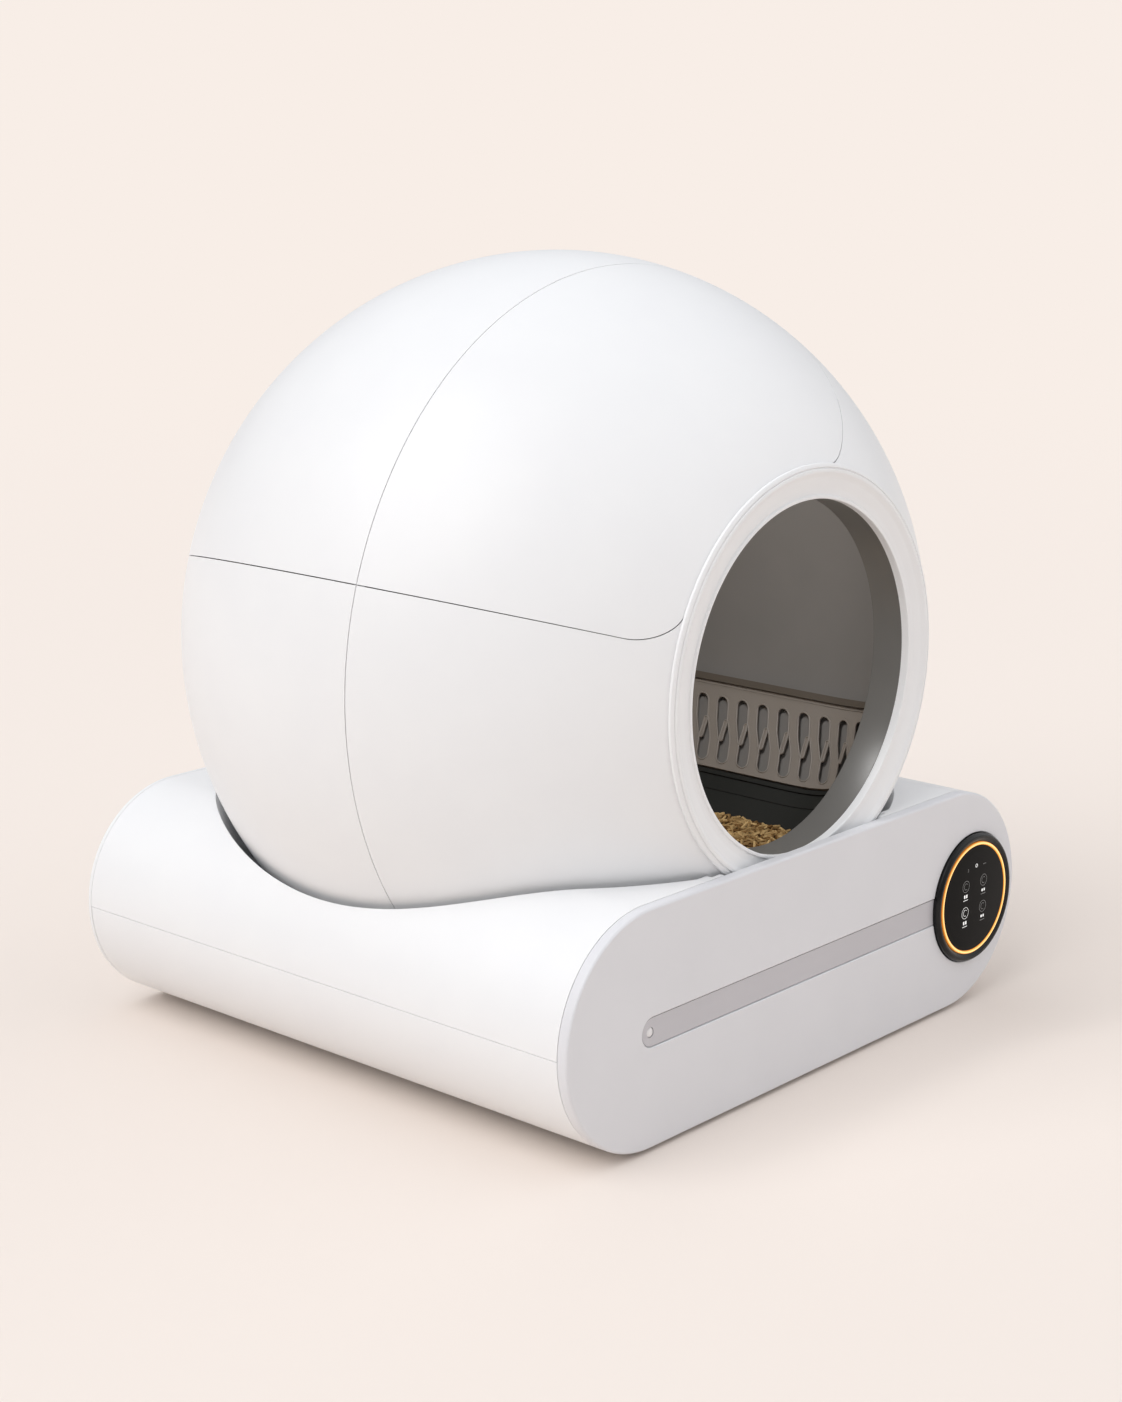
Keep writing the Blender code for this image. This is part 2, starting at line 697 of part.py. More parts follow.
def build_drawer_bay():
    """Rails, the deck over the drawer with its chute, and the roller forks."""
    for side, sign in (("left", -1), ("right", 1)):
        ends = sorted((sign * RAIL_HALF, sign * (RAIL_HALF + 0.003)))
        rail = box(
            f"drawer_rail_{side}",
            (ends[0], BODY_FRONT + FRONT_WALL + GAP, 0.0070),
            (ends[1], DECK_BACK - 0.003, DECK_BOTTOM - GAP),
        )
        as_piece(rail, "nylon_natural")
        ledge_ends = sorted((sign * (RAIL_HALF - 0.008), sign * (RAIL_HALF + 0.003)))
        ledge = box(
            f"rail_ledge_{side}",
            (ledge_ends[0], BODY_FRONT + FRONT_WALL + GAP, 0.0070),
            (ledge_ends[1], DECK_BACK - 0.003, DRAWER_BOTTOM - GAP),
        )
        combine(rail, as_cutter(ledge), "UNION")

    deck = box(
        "cradle_deck",
        (-0.200, BODY_FRONT + FRONT_WALL + GAP, DECK_BOTTOM),
        (0.200, DECK_BACK, DECK_TOP),
    )
    as_piece(deck, "bin_grey")
    back_wall = box(
        "deck_back_wall",
        (-0.165, DECK_BACK - 0.0025, FLOOR_TOP + GAP),
        (0.165, DECK_BACK, DECK_BOTTOM + 0.001),
    )
    combine(deck, as_cutter(back_wall), "UNION")
    mouth = box("chute_mouth", (-CHUTE_HALF, CHUTE_Y[0], 0.06), (CHUTE_HALF, CHUTE_Y[1], 0.11))
    combine(deck, as_cutter(mouth))

    wall = 0.0025
    chute = box(
        "waste_chute",
        (-CHUTE_HALF - wall, CHUTE_Y[0] - wall, DECK_TOP + GAP),
        (CHUTE_HALF + wall, CHUTE_Y[1] + wall, 0.100),
    )
    as_piece(chute, "bin_grey")
    combine(chute, mouth)
    sweep = rod("drum_sweep", 0, AXIS_Z, DRUM_RADIUS + 0.003, -0.2, 0.2, 72)
    combine(chute, as_cutter(sweep))

    for side, clock in ROLLER_CLOCKS.items():
        x, z = at_clock(clock, ROLLER_CENTRES)
        for end, y in ROLLER_YS.items():
            build_roller(f"{end}_{side}", x, y, z)


def build_roller(label, x, y, z):
    half = ROLLER_WIDTH / 2
    bore = SHAFT_RADIUS + GAP
    roller = slab(
        f"roller_{label}",
        [circle(ROLLER_RADIUS, 24), circle(bore, 12)],
        y - half,
        y + half,
        x,
        z,
    )
    as_piece(roller, "rubber_grey")
    axle = rod(f"roller_axle_{label}", x, z, SHAFT_RADIUS, y - half - 0.005, y + half + 0.005, 12)
    as_piece(axle, "steel")
    fork = box(
        f"roller_fork_{label}",
        (x - 0.008, y - half - 0.0035, DECK_TOP + GAP),
        (x + 0.008, y + half + 0.0035, z + 0.006),
    )
    as_piece(fork, "nylon_natural")
    jaw = box(
        f"fork_jaw_{label}",
        (x - 0.02, y - half - 0.0005, z - ROLLER_RADIUS - 0.001),
        (x + 0.02, y + half + 0.0005, z + 0.02),
    )
    combine(fork, as_cutter(jaw))
    hole = rod(f"fork_hole_{label}", x, z, bore, y - 0.02, y + 0.02, 12)
    combine(fork, as_cutter(hole))


def build_drive():
    """Motor, its bracket and pinion, control board, power inlet and one contact block."""
    x, z = at_clock(PINION_CLOCK, GEAR_CENTRES)
    tooth = math.pi * GEAR_PITCH / GEAR_TEETH - BACKLASH
    mesh_phase = (180 + PINION_CLOCK) / 360 * PINION_TEETH
    gear_phase = PINION_CLOCK / 360 * GEAR_TEETH
    offset = mesh_phase + 0.5 + (gear_phase - round(gear_phase))
    pinion = slab(
        "motor_pinion",
        [gear_outline(PINION_TEETH, PINION_PITCH, tooth, 0.0026, 0.0035, offset),
         circle(SHAFT_RADIUS + GAP, 12)],
        *PINION_Y,
        x,
        z,
    )
    as_piece(pinion, "nylon_natural")

    plate_y = (0.1365, 0.1395)
    plate_low = (x - 0.024, plate_y[0], FLOOR_TOP + GAP)
    bracket = box("motor_bracket", plate_low, (x + 0.024, plate_y[1], z + 0.020))
    as_piece(bracket, "steel")
    shelf = box(
        "bracket_shelf",
        (x - 0.024, plate_y[0], FLOOR_TOP + GAP),
        (x + 0.024, plate_y[1] + 0.030, FLOOR_TOP + 0.003),
    )
    combine(bracket, as_cutter(shelf), "UNION")
    combine(bracket, as_cutter(rod("shaft_hole", x, z, 0.006, 0.13, 0.145, 16)))

    start = plate_y[1] + GAP
    motor_section = [
        (0, 0.196),
        (0.014, 0.196),
        (0.014, start + 0.026),
        (0.0185, start + 0.026),
        (0.0185, start),
        (SHAFT_RADIUS, start),
        (SHAFT_RADIUS, PINION_Y[0]),
        (0, PINION_Y[0]),
    ]
    as_piece(turned("gear_motor", motor_section, 24, x, z, closed=False), "steel")

    board = box("control_board", (-0.135, 0.160, FLOOR_TOP + GAP), (-0.055, 0.1618, 0.060))
    as_piece(board, "board_green")
    inlet_section = [
        (0, 0.2290),
        (0.0059, 0.2290),
        (0.0059, BASE_BACK - 0.0002),
        (0.0032, BASE_BACK - 0.0002),
        (0.0032, 0.2310),
        (0, 0.2310),
    ]
    inlet = turned("power_inlet", inlet_section[::-1], 16, -0.095, 0.040, closed=False)
    as_piece(inlet, "display_black")
    socket_low = (0.188, BODY_FRONT + FRONT_WALL + GAP, 0.030)
    socket = box("base_contact_block", socket_low, (0.206, -0.212, 0.050))
    as_piece(socket, "display_black")


def build_drawer():
    """Front panel with strip, lamp and display, and the bin behind it."""
    panel_back = BASE_FRONT + PANEL_THICK
    panel = as_piece(slab("front_panel", [stadium()], BASE_FRONT, panel_back), "panel_grey", drawer_guide)
    edge = panel.modifiers.new("edge", "BEVEL")
    edge.width = 0.0030
    edge.segments = 2
    edge.angle_limit = math.radians(50)
    pocket = slab("strip_pocket", [strip_outline(0)], BASE_FRONT - 0.005, BASE_FRONT + 0.0022)
    combine(panel, as_cutter(pocket))
    seat_y = (BASE_FRONT - 0.01, BASE_FRONT + 0.0055)
    seat = rod("display_seat", DISC_X, DISC_Z, BEZEL_RADIUS + GAP, *seat_y, 40)
    combine(panel, as_cutter(seat))

    strip = slab("light_strip", [strip_outline(GAP)], BASE_FRONT + 0.0008, BASE_FRONT + 0.0019)
    as_piece(strip, "strip_grey", drawer_guide)
    combine(strip, seat)
    middle = (STRIP_Z[0] + STRIP_Z[1]) / 2
    lamp_x = STRIP_LEFT + 0.0085
    hole_y = (BASE_FRONT - 0.01, BASE_FRONT + 0.01)
    lamp_hole = rod("lamp_hole", lamp_x, middle, LAMP_RADIUS + GAP, *hole_y, 16)
    combine(strip, as_cutter(lamp_hole))
    lamp = rod("status_led", lamp_x, middle, LAMP_RADIUS, BASE_FRONT + 0.0004, BASE_FRONT + 0.0019, 16)
    as_piece(lamp, "lamp_white", drawer_guide)
    build_display()

    bin_front = panel_back + GAP
    tray = box(
        "drawer_bin",
        (-DRAWER_HALF, bin_front, DRAWER_BOTTOM),
        (DRAWER_HALF, DRAWER_BACK, DRAWER_TOP),
    )
    as_piece(tray, "bin_grey", drawer_guide)
    wall = 0.0025
    room = box(
        "bin_room",
        (-DRAWER_HALF + wall, bin_front + wall, DRAWER_BOTTOM + wall),
        (DRAWER_HALF - wall, DRAWER_BACK - wall, 0.1),
    )
    combine(tray, as_cutter(room))
    plug = box("panel_contact_block", (0.190, panel_back + GAP, 0.032), (0.204, BODY_FRONT + 0.0034, 0.048))
    as_piece(plug, "display_black", drawer_guide)


def strip_outline(inset):
    """The strip from its round left end to the middle of the display disc."""
    radius = (STRIP_Z[1] - STRIP_Z[0]) / 2 - inset
    middle = (STRIP_Z[0] + STRIP_Z[1]) / 2
    centre = STRIP_LEFT + (STRIP_Z[1] - STRIP_Z[0]) / 2
    points = [(DISC_X, middle - radius), (DISC_X, middle + radius)]
    for step in range(9):
        angle = math.radians(90 + 180 * step / 8)
        points.append((centre + radius * math.cos(angle), middle + radius * math.sin(angle)))
    return points


def build_display():
    """Black round housing, glass with a groove, and the amber ring in the groove."""
    face = BASE_FRONT - BEZEL_PROUD
    back = BASE_FRONT + 0.0052
    bezel_section = [
        (0, back),
        (BEZEL_RADIUS, back),
        (BEZEL_RADIUS, face + 0.0012),
        (BEZEL_RADIUS - 0.0012, face),
        (0.0462, face),
        (0.0462, face + 0.0028),
        (0, face + 0.0028),
    ]
    bezel = turned("display_bezel", bezel_section, DISC_STEPS, DISC_X, DISC_Z, closed=False)
    as_piece(bezel, "display_black", drawer_guide)
    front = face + 0.0004
    glass_section = [
        (0, face + 0.0025),
        (0.0459, face + 0.0025),
        (0.0459, front),
        (LIGHT_RING[1] + GAP, front),
        (LIGHT_RING[1] + GAP, front + 0.0012),
        (LIGHT_RING[0] - GAP, front + 0.0012),
        (LIGHT_RING[0] - GAP, front),
        (0, front),
    ]
    glass = turned("display_glass", glass_section, DISC_STEPS, DISC_X, DISC_Z, closed=False)
    as_piece(glass, "display_black", drawer_guide)
    ring = slab(
        "light_ring",
        [circle(LIGHT_RING[1], DISC_STEPS), circle(LIGHT_RING[0], DISC_STEPS)],
        front - 0.0001,
        front + 0.0009,
        DISC_X,
        DISC_Z,
    )
    as_piece(ring, "amber_light", drawer_guide)


def guide(name, location):
    """An empty that marks a joint: the moving pieces are its children."""
    empty = bpy.data.objects.new(name, None)
    empty.location = location
    parts.objects.link(empty)
    bpy.context.view_layer.update()
    return empty


clear_scene()
parts = make_collection("cat_litter_box")
cutters = make_collection("cutters", hidden=True)
drum_axis = guide("drum_axis", (0, 0, AXIS_Z))
hatch_guide = guide("hatch_guide", (0, 0, AXIS_Z))
drawer_guide = guide("drawer_guide", (0, 0, 0))
build_base_shells()
build_drawer_bay()
build_drive()
build_hood()
build_drum()
build_drawer()
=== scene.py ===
"""Looks of a self-cleaning cat litter box: a ball-shaped hood over a turning drum, on a stadium base.

Everything is in metres in the frame of the CAD part, with +Z up and the entry facing -Y. A clock
angle is measured about the drum's axis from +X towards +Z.
"""

import json
import math

import bmesh
import bpy
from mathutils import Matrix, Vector

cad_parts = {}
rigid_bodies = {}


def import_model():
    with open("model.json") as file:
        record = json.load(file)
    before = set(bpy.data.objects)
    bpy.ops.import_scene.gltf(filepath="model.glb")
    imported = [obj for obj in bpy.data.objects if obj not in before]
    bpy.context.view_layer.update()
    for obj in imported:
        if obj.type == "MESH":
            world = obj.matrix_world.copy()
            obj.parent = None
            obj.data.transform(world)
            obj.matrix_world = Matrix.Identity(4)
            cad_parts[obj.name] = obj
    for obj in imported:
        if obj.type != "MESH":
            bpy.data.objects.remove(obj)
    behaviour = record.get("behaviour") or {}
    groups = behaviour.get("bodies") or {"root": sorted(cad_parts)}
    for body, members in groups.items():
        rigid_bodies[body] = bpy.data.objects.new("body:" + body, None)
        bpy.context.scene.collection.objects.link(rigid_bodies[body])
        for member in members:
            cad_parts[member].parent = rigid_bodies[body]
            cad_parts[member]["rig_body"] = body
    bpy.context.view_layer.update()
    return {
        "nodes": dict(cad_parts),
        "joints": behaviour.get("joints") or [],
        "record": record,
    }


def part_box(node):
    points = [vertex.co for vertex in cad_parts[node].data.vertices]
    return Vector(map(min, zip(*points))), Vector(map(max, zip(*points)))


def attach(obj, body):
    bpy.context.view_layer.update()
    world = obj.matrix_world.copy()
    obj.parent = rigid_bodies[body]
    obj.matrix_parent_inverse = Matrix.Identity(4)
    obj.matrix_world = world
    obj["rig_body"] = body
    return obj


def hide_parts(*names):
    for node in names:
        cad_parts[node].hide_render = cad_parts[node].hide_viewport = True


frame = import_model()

BODY_OF = {node: body for body, nodes in frame["record"]["behaviour"]["bodies"].items() for node in nodes}
SLOT_OF = {row["node"]: row["material_slot"] for row in frame["record"]["subparts"]}

# Places read from the frame.
PANEL_LOW, PANEL_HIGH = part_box("front_panel")
BASE_FRONT = PANEL_LOW.y
HALF_WIDTH = PANEL_HIGH.x
BASE_MID = (PANEL_LOW.z + PANEL_HIGH.z) / 2
END_RADIUS = (PANEL_HIGH.z - PANEL_LOW.z) / 2
PANEL_BACK = PANEL_HIGH.y
COVER_LOW, COVER_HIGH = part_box("base_upper_cover")
BODY_FRONT, BODY_BACK = COVER_LOW.y, COVER_HIGH.y
BASE_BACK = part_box("rear_panel")[1].y
AXIS_Z = next(joint["pos_m"][2] for joint in frame["joints"] if joint["name"] == "drum_turn")
BEZEL_LOW, BEZEL_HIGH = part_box("display_bezel")
DISC = ((BEZEL_LOW.x + BEZEL_HIGH.x) / 2, (BEZEL_LOW.z + BEZEL_HIGH.z) / 2)
BEZEL_RADIUS = (BEZEL_HIGH.x - BEZEL_LOW.x) / 2
LIGHT_INNER, LIGHT_OUTER = 0.0411, 0.0434
STRIP_LOW, STRIP_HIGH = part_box("light_strip")
RING_LOW, RING_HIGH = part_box("entry_ring")
RING_CREST = RING_LOW.y
RING_OUTER = (RING_HIGH.x - RING_LOW.x) / 2
GAP = 0.0003
WALL = 0.003
INNER_FRONT = BODY_FRONT + 0.0034

# The ball, its seams and the well round it.
BALL_RADIUS = 0.279
BALL_RATIO = 0.965
BALL_Y = 0.002
BALL_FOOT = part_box("hood_front_shell")[0].z
BALL_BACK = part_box("hood_back_plate")[0].y - GAP
SEAM_Y = -0.0575
SEAM_RIGHT, RIGHT_ANGLE, RIGHT_Y = 62.0, 20.0, -0.150
SEAM_LEFT, LEFT_ANGLE, LEFT_Y = 162.6, 9.5, -0.207
SEAM_HALF = 0.00035
WELL_RADIUS = 0.2845
WELL_FLOOR = BALL_FOOT - GAP
WELL_FRONT = -0.2235
WELL_BACK = 0.2285
WELL_HOLE = 0.200
RING_RADIUS = RING_OUTER - 0.0015
RING_SEAT = BALL_Y - BALL_RATIO * math.sqrt(BALL_RADIUS**2 - RING_RADIUS**2)
MOUTH_RADIUS = 0.1235
RING_RECESS = 0.1555
RING_NOTCH = 0.1498

# The drum.
DRUM_RADIUS = 0.205
DRUM_WALL = 0.0025
FRONT_FLAT, BACK_FLAT = -0.100, 0.135
FRONT_DEPTH, BACK_DEPTH = 0.118, 0.060
DRUM_POWER = 2.6
DRUM_MOUTH = -0.1985
DRUM_SPLIT = 0.110
LINER_CLOCK = (-140.0, -41.2)
SIEVE_CLOCK = (-40.5, -21.0)
SLOT_LEAN = 0.30
SIEVE_INSET = DRUM_WALL + GAP + 0.0030
SLOT_PITCH = 0.020
LITTER_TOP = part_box("litter_bed")[1].z

# The stage.
FLOOR_COLOUR = (0.852, 0.768, 0.704, 1.0)
CREAM = "F8EEE7"


# ---------------------------------------------------------------- nodes and materials


def colour(text):
    """An sRGB hex value as the linear colour that a shader takes."""
    parts = [int(text[at:at + 2], 16) / 255 for at in (0, 2, 4)]
    linear = [c / 12.92 if c <= 0.04045 else ((c + 0.055) / 1.055) ** 2.4 for c in parts]
    return (*linear, 1.0)


def add(tree, kind, inputs=None, **settings):
    """Adds a node. An input is given a value, a socket to link, or a node, whose first output is linked."""
    node = tree.nodes.new(kind)
    for name, value in settings.items():
        setattr(node, name, value)
    for key, value in (inputs or {}).items():
        if isinstance(value, bpy.types.Node):
            value = value.outputs[0]
        if isinstance(value, bpy.types.NodeSocket):
            tree.links.new(value, node.inputs[key])
        else:
            node.inputs[key].default_value = value
    return node


def principled(name, **sockets):
    """A material with one Principled BSDF, whose uniform values sit on its own sockets."""
    made = bpy.data.materials.new(name)
    made.use_nodes = True
    shader = made.node_tree.nodes["Principled BSDF"]
    for key, value in sockets.items():
        shader.inputs[key.replace("_", " ")].default_value = value
    return made, made.node_tree, shader


def tinted(tree, shader, factor, first, second, *others):
    """Mixes two hex colours by a factor, into the base colour and any other sockets."""
    tone = add(tree, "ShaderNodeMix", {0: factor, 6: colour(first), 7: colour(second)}, data_type="RGBA")
    for key in ("Base Color", *others):
        tree.links.new(tone.outputs[2], shader.inputs[key])


def grained(tree, shader, height, smoothest, roughest, strength, distance):
    """Lets one texture drive both the roughness and a fine relief."""
    shine = add(tree, "ShaderNodeMapRange", {0: height, 3: smoothest, 4: roughest})
    tree.links.new(shine.outputs[0], shader.inputs["Roughness"])
    bump = add(tree, "ShaderNodeBump", {"Height": height, "Strength": strength, "Distance": distance})
    tree.links.new(bump.outputs[0], shader.inputs["Normal"])


def moulded(name, base, tint, roughness, grain, relief, spread=0.045, **sockets):
    """Injection-moulded plastic: a faint drift of tone, and the fine spark-eroded grain of the tool.

    The real grain is about 0.1 mm across; grain says how coarse, in metres, it is drawn to show.
    """
    made, tree, shader = principled(name, **sockets)
    place = add(tree, "ShaderNodeTexCoord").outputs["Object"]
    drift = add(tree, "ShaderNodeTexNoise", {"Vector": place, "Scale": 1 / spread, "Detail": 2.0})
    tinted(tree, shader, drift, base, tint)
    texture = add(tree, "ShaderNodeTexNoise", {"Vector": place, "Scale": 1 / grain, "Detail": 3.0})
    grained(tree, shader, texture, roughness - 0.04, roughness + 0.05, 0.35, relief)
    return made


def zinc_plated_steel():
    """Rolled sheet and turned bar with bright zinc: fine drawing lines and a patchy sheen."""
    made, tree, shader = principled("zinc_plated_steel", Metallic=1.0)
    place = add(tree, "ShaderNodeTexCoord").outputs["Object"]
    stretched = add(tree, "ShaderNodeMapping", {0: place, "Scale": (1.0, 0.06, 1.0)})
    lines = add(tree, "ShaderNodeTexNoise", {"Vector": stretched, "Scale": 1500.0, "Detail": 4.0})
    patches = add(tree, "ShaderNodeTexVoronoi", {"Vector": place, "Scale": 220.0})
    tinted(tree, shader, patches, "C4C6C9", "A9ABAF")
    grained(tree, shader, lines, 0.24, 0.42, 0.3, 0.00003)
    return made


def pine_pellets():
    """Pressed plant fibre: each pellet its own tan, with fine fibre streaks and a dry, dull face."""
    made, tree, shader = principled("pressed_pine_pellets", IOR=1.45)
    place = add(tree, "ShaderNodeTexCoord").outputs["Object"]
    own = add(tree, "ShaderNodeAttribute", attribute_name="shade").outputs["Fac"]
    grain = {"Vector": place, "Scale": 700.0, "Detail": 4.0, "Roughness": 0.7}
    fibre = add(tree, "ShaderNodeTexNoise", grain)
    mixed = add(tree, "ShaderNodeMix", {0: 0.45, 2: own, 3: fibre.outputs[0]}, data_type="FLOAT")
    ramp = add(tree, "ShaderNodeValToRGB", {0: mixed})
    ramp.color_ramp.elements[0].position = 0.25
    ramp.color_ramp.elements[0].color = colour("8A6434")
    ramp.color_ramp.elements[1].position = 0.75
    ramp.color_ramp.elements[1].color = colour("E8C488")
    tree.links.new(ramp.outputs[0], shader.inputs["Base Color"])
    grained(tree, shader, fibre, 0.75, 0.95, 0.6, 0.0002)
    return made


def solder_mask():
    """Green solder mask over copper tracks, which show as paler lines on a grid."""
    made, tree, shader = principled("solder_mask", Roughness=0.35, IOR=1.5)
    place = add(tree, "ShaderNodeTexCoord").outputs["Object"]
    tracks = add(tree, "ShaderNodeTexBrick", {"Vector": place, "Scale": 100.0, "Mortar Size": 0.05})
    tinted(tree, shader, tracks.outputs[1], "0F4A2A", "2F7A49")
    return made


def amber_light_guide():
    """A lit acrylic light guide: palest along the middle of its width, deep amber at its edges."""
    made, tree, shader = principled("lit_amber_acrylic", Roughness=0.35, IOR=1.49, Emission_Strength=0.85)
    place = add(tree, "ShaderNodeTexCoord").outputs["Object"]
    shift = (-DISC[0], 0.0, -DISC[1])
    centred = add(tree, "ShaderNodeMapping", {0: place, "Location": shift, "Scale": (1.0, 0.0, 1.0)})
    radius = add(tree, "ShaderNodeVectorMath", {0: centred}, operation="LENGTH").outputs["Value"]
    across = add(tree, "ShaderNodeMapRange", {0: radius, 1: LIGHT_INNER, 2: LIGHT_OUTER})
    ramp = add(tree, "ShaderNodeValToRGB", {0: across})
    ramp.color_ramp.elements[0].color = colour("D98A2B")
    ramp.color_ramp.elements[1].color = colour("C9781F")
    ramp.color_ramp.elements.new(0.5).color = colour("FFD68A")
    tree.links.new(ramp.outputs[0], shader.inputs["Base Color"])
    tree.links.new(ramp.outputs[0], shader.inputs["Emission Color"])
    return made


def backlit_ink(name, shade, glow):
    """Translucent ink under the glass, lit from behind and a little uneven from dot to dot."""
    made, tree, shader = principled(name, Roughness=0.4, IOR=1.5, Emission_Strength=glow)
    place = add(tree, "ShaderNodeTexCoord").outputs["Object"]
    uneven = add(tree, "ShaderNodeTexNoise", {"Vector": place, "Scale": 300.0})
    tinted(tree, shader, uneven, shade, "9A9A98", "Emission Color")
    return made


MATERIALS = {
    # Satin white ABS: even and clean, with a soft broad sheen from a fine tool texture.
    "white_abs": moulded("satin_white_abs", "F1F1F1", "EDEDEE", 0.40, 0.0009, 0.00004, IOR=1.53),
    # The same ABS in pale grey, for the front panel.
    "panel_grey": moulded("satin_grey_abs", "E2E2E5", "DDDDE0", 0.42, 0.0009, 0.00004, IOR=1.53),
    # Frosted polycarbonate strip: smoother than the panel, cooler, and a little glossy.
    "strip_grey": moulded("frosted_polycarbonate", "C6C4C8", "C0BEC2", 0.30, 0.0012, 0.00002, IOR=1.585),
    # Polypropylene drum: waxy grey-brown with a softer, slightly blotchy sheen.
    "drum_taupe": moulded("taupe_polypropylene", "8D8884", "83807C", 0.46, 0.0012, 0.00005, IOR=1.49),
    # The sieve, moulded in a paler mix of the same polypropylene.
    "sieve_taupe": moulded("pale_taupe_polypropylene", "A0978E", "958C83", 0.44, 0.0012, 0.00005, IOR=1.49),
    # Silicone liner: dull, dark and slightly dusty, with hardly any highlight.
    "liner_dark": moulded("dark_silicone", "2A2B28", "232421", 0.62, 0.0016, 0.00008, IOR=1.41),
    # Painted ABS collar: dark grey with a tight satin highlight.
    "collar_grey": moulded("satin_dark_grey_abs", "75736F", "6B6966", 0.30, 0.0009, 0.00002, IOR=1.53),
    "litter": pine_pellets(),
    # Piano-black ABS: a deep, even black with a dim gloss.
    "display_black": moulded(
        "piano_black_abs", "070707", "0A0A0A", 0.22, 0.0020, 0.000004, IOR=1.53, Specular_IOR_Level=0.30
    ),
    # Smoked acrylic window: black and flat, with hardly any reflection.
    "display_glass": moulded(
        "smoked_acrylic", "050505", "070707", 0.16, 0.0030, 0.000002, IOR=1.49, Specular_IOR_Level=0.08
    ),
    "amber_light": amber_light_guide(),
    # Clear polycarbonate lens over an unlit lamp: pale, with a wet gloss.
    "lamp": moulded("lamp_lens", "EDEBEB", "E2E0E1", 0.14, 0.0010, 0.00001, IOR=1.585),
    # Thermoplastic rubber: matt and dark with a coarse, grippy grain.
    "rubber_grey": moulded("moulded_rubber", "434343", "383838", 0.82, 0.0010, 0.00012, IOR=1.52),
    "motor_steel": zinc_plated_steel(),
    # Natural nylon: milky cream, waxy, slightly see-through at its edges.
    "nylon": moulded(
        "natural_nylon", "E6E0D2", "DCD5C5", 0.42, 0.0012, 0.00004,
        IOR=1.53, Subsurface_Weight=0.15, Subsurface_Scale=0.002,
    ),
    "circuit_board": solder_mask(),
    # Glass-filled black nylon of the connectors: dark with a grey, fibrous bloom.
    "black_plastic": moulded("glass_filled_nylon", "1C1C1D", "29292A", 0.50, 0.0007, 0.00006, IOR=1.53),
    # Grey polypropylene of the drawer and its bay: plain, waxy and slightly blotchy.
    "inner_grey": moulded("grey_polypropylene", "9C9C9E", "929294", 0.48, 0.0012, 0.00005, IOR=1.49),
}
# The ledge over the sieve, coloured a darker brown as painted shadow of the gap above the sieve.
SIEVE_LEDGE_PAINTED_SHADOW = moulded("ledge_painted_shadow", "6A6157", "635A50", 0.48, 0.0012, 0.00005, IOR=1.49)
# The bed under the pellets in dark brown: painted shade for the gaps between the pellets.
BED_PAINTED_GAP_SHADE = moulded("pine_bed_painted_gap_shade", "6B4A22", "4E3416", 0.9, 0.0016, 0.0006, 0.006, IOR=1.45)
INKS = {
    "bright": backlit_ink("bright_backlit_ink", "F2F2F0", 0.95),
    "dim": backlit_ink("dim_backlit_ink", "6A6A6A", 0.16),
}


# ---------------------------------------------------------------- shaping


def settle(obj):
    """Makes the modifiers' result the object's own mesh."""
    bpy.context.view_layer.update()
    graph = bpy.context.evaluated_depsgraph_get()
    mesh = bpy.data.meshes.new_from_object(obj.evaluated_get(graph), depsgraph=graph)
    obj.modifiers.clear()
    obj.data = mesh
    return obj


def linked(name, data):
    """A new object in the scene that shows the data."""
    obj = bpy.data.objects.new(name, data)
    bpy.context.scene.collection.objects.link(obj)
    return obj


def mesh_object(name, bm):
    mesh = bpy.data.meshes.new(name)
    bm.to_mesh(mesh)
    bm.free()
    return linked(name, mesh)


def closed_mesh(name, bm):
    """Merges doubles, turns every face outwards and makes the object."""
    bmesh.ops.remove_doubles(bm, verts=bm.verts, dist=0.000002)
    bmesh.ops.dissolve_degenerate(bm, edges=bm.edges, dist=0.0000005)
    bmesh.ops.recalc_face_normals(bm, faces=bm.faces)
    if bm.calc_volume(signed=True) < 0:
        bmesh.ops.reverse_faces(bm, faces=bm.faces)
    return mesh_object(name, bm)


def smooth(obj, angle=30):
    obj.data.shade_smooth()
    obj.data.set_sharp_from_angle(angle=math.radians(angle))
    return obj


def softened(obj, width, segments=3, angle=35):
    """Rounds the sharp edges, and shades the flats as flats."""
    bevel = obj.modifiers.new("edge", "BEVEL")
    bevel.width = width
    bevel.segments = segments
    bevel.limit_method = "ANGLE"
    bevel.angle_limit = math.radians(angle)
    bevel.use_clamp_overlap = True
    settle(obj)
    obj.data.shade_smooth()
    obj.modifiers.new("flats", "WEIGHTED_NORMAL").keep_sharp = False
    return settle(obj)


def walled(obj, thickness):
    """Gives a sheet its wall, on the inner side."""
    wall = obj.modifiers.new("wall", "SOLIDIFY")
    wall.thickness = thickness
    wall.offset = -1
    return settle(obj)


def joined(name, objects):
    """One object from several, with each face's material kept."""
    bm = bmesh.new()
    materials = []
    for obj in objects:
        start = len(bm.faces)
        bm.from_mesh(obj.data)
        bm.faces.ensure_lookup_table()
        for slot in obj.data.materials:
            if slot not in materials:
                materials.append(slot)
        if obj.data.materials:
            index = materials.index(obj.data.materials[0])
            for face in bm.faces[start:]:
                face.material_index = index
        bpy.data.objects.remove(obj)
    made = mesh_object(name, bm)
    for slot in materials:
        made.data.materials.append(slot)
    return smooth(made)


def carved(obj, *cutters, operation="DIFFERENCE"):
    for cutter in cutters:
        boolean = obj.modifiers.new("cut", "BOOLEAN")
        boolean.operation = operation
        boolean.object = cutter
    settle(obj)
    for cutter in cutters:
        bpy.data.objects.remove(cutter)
    return obj


def fitted(obj, slot, *nodes, body=None):
    """Gives a piece its finish, its body and the CAD nodes that it stands for."""
    obj.data.materials.clear()
    obj.data.materials.append(MATERIALS[slot])
    return placed(obj, slot, *nodes, body=body)


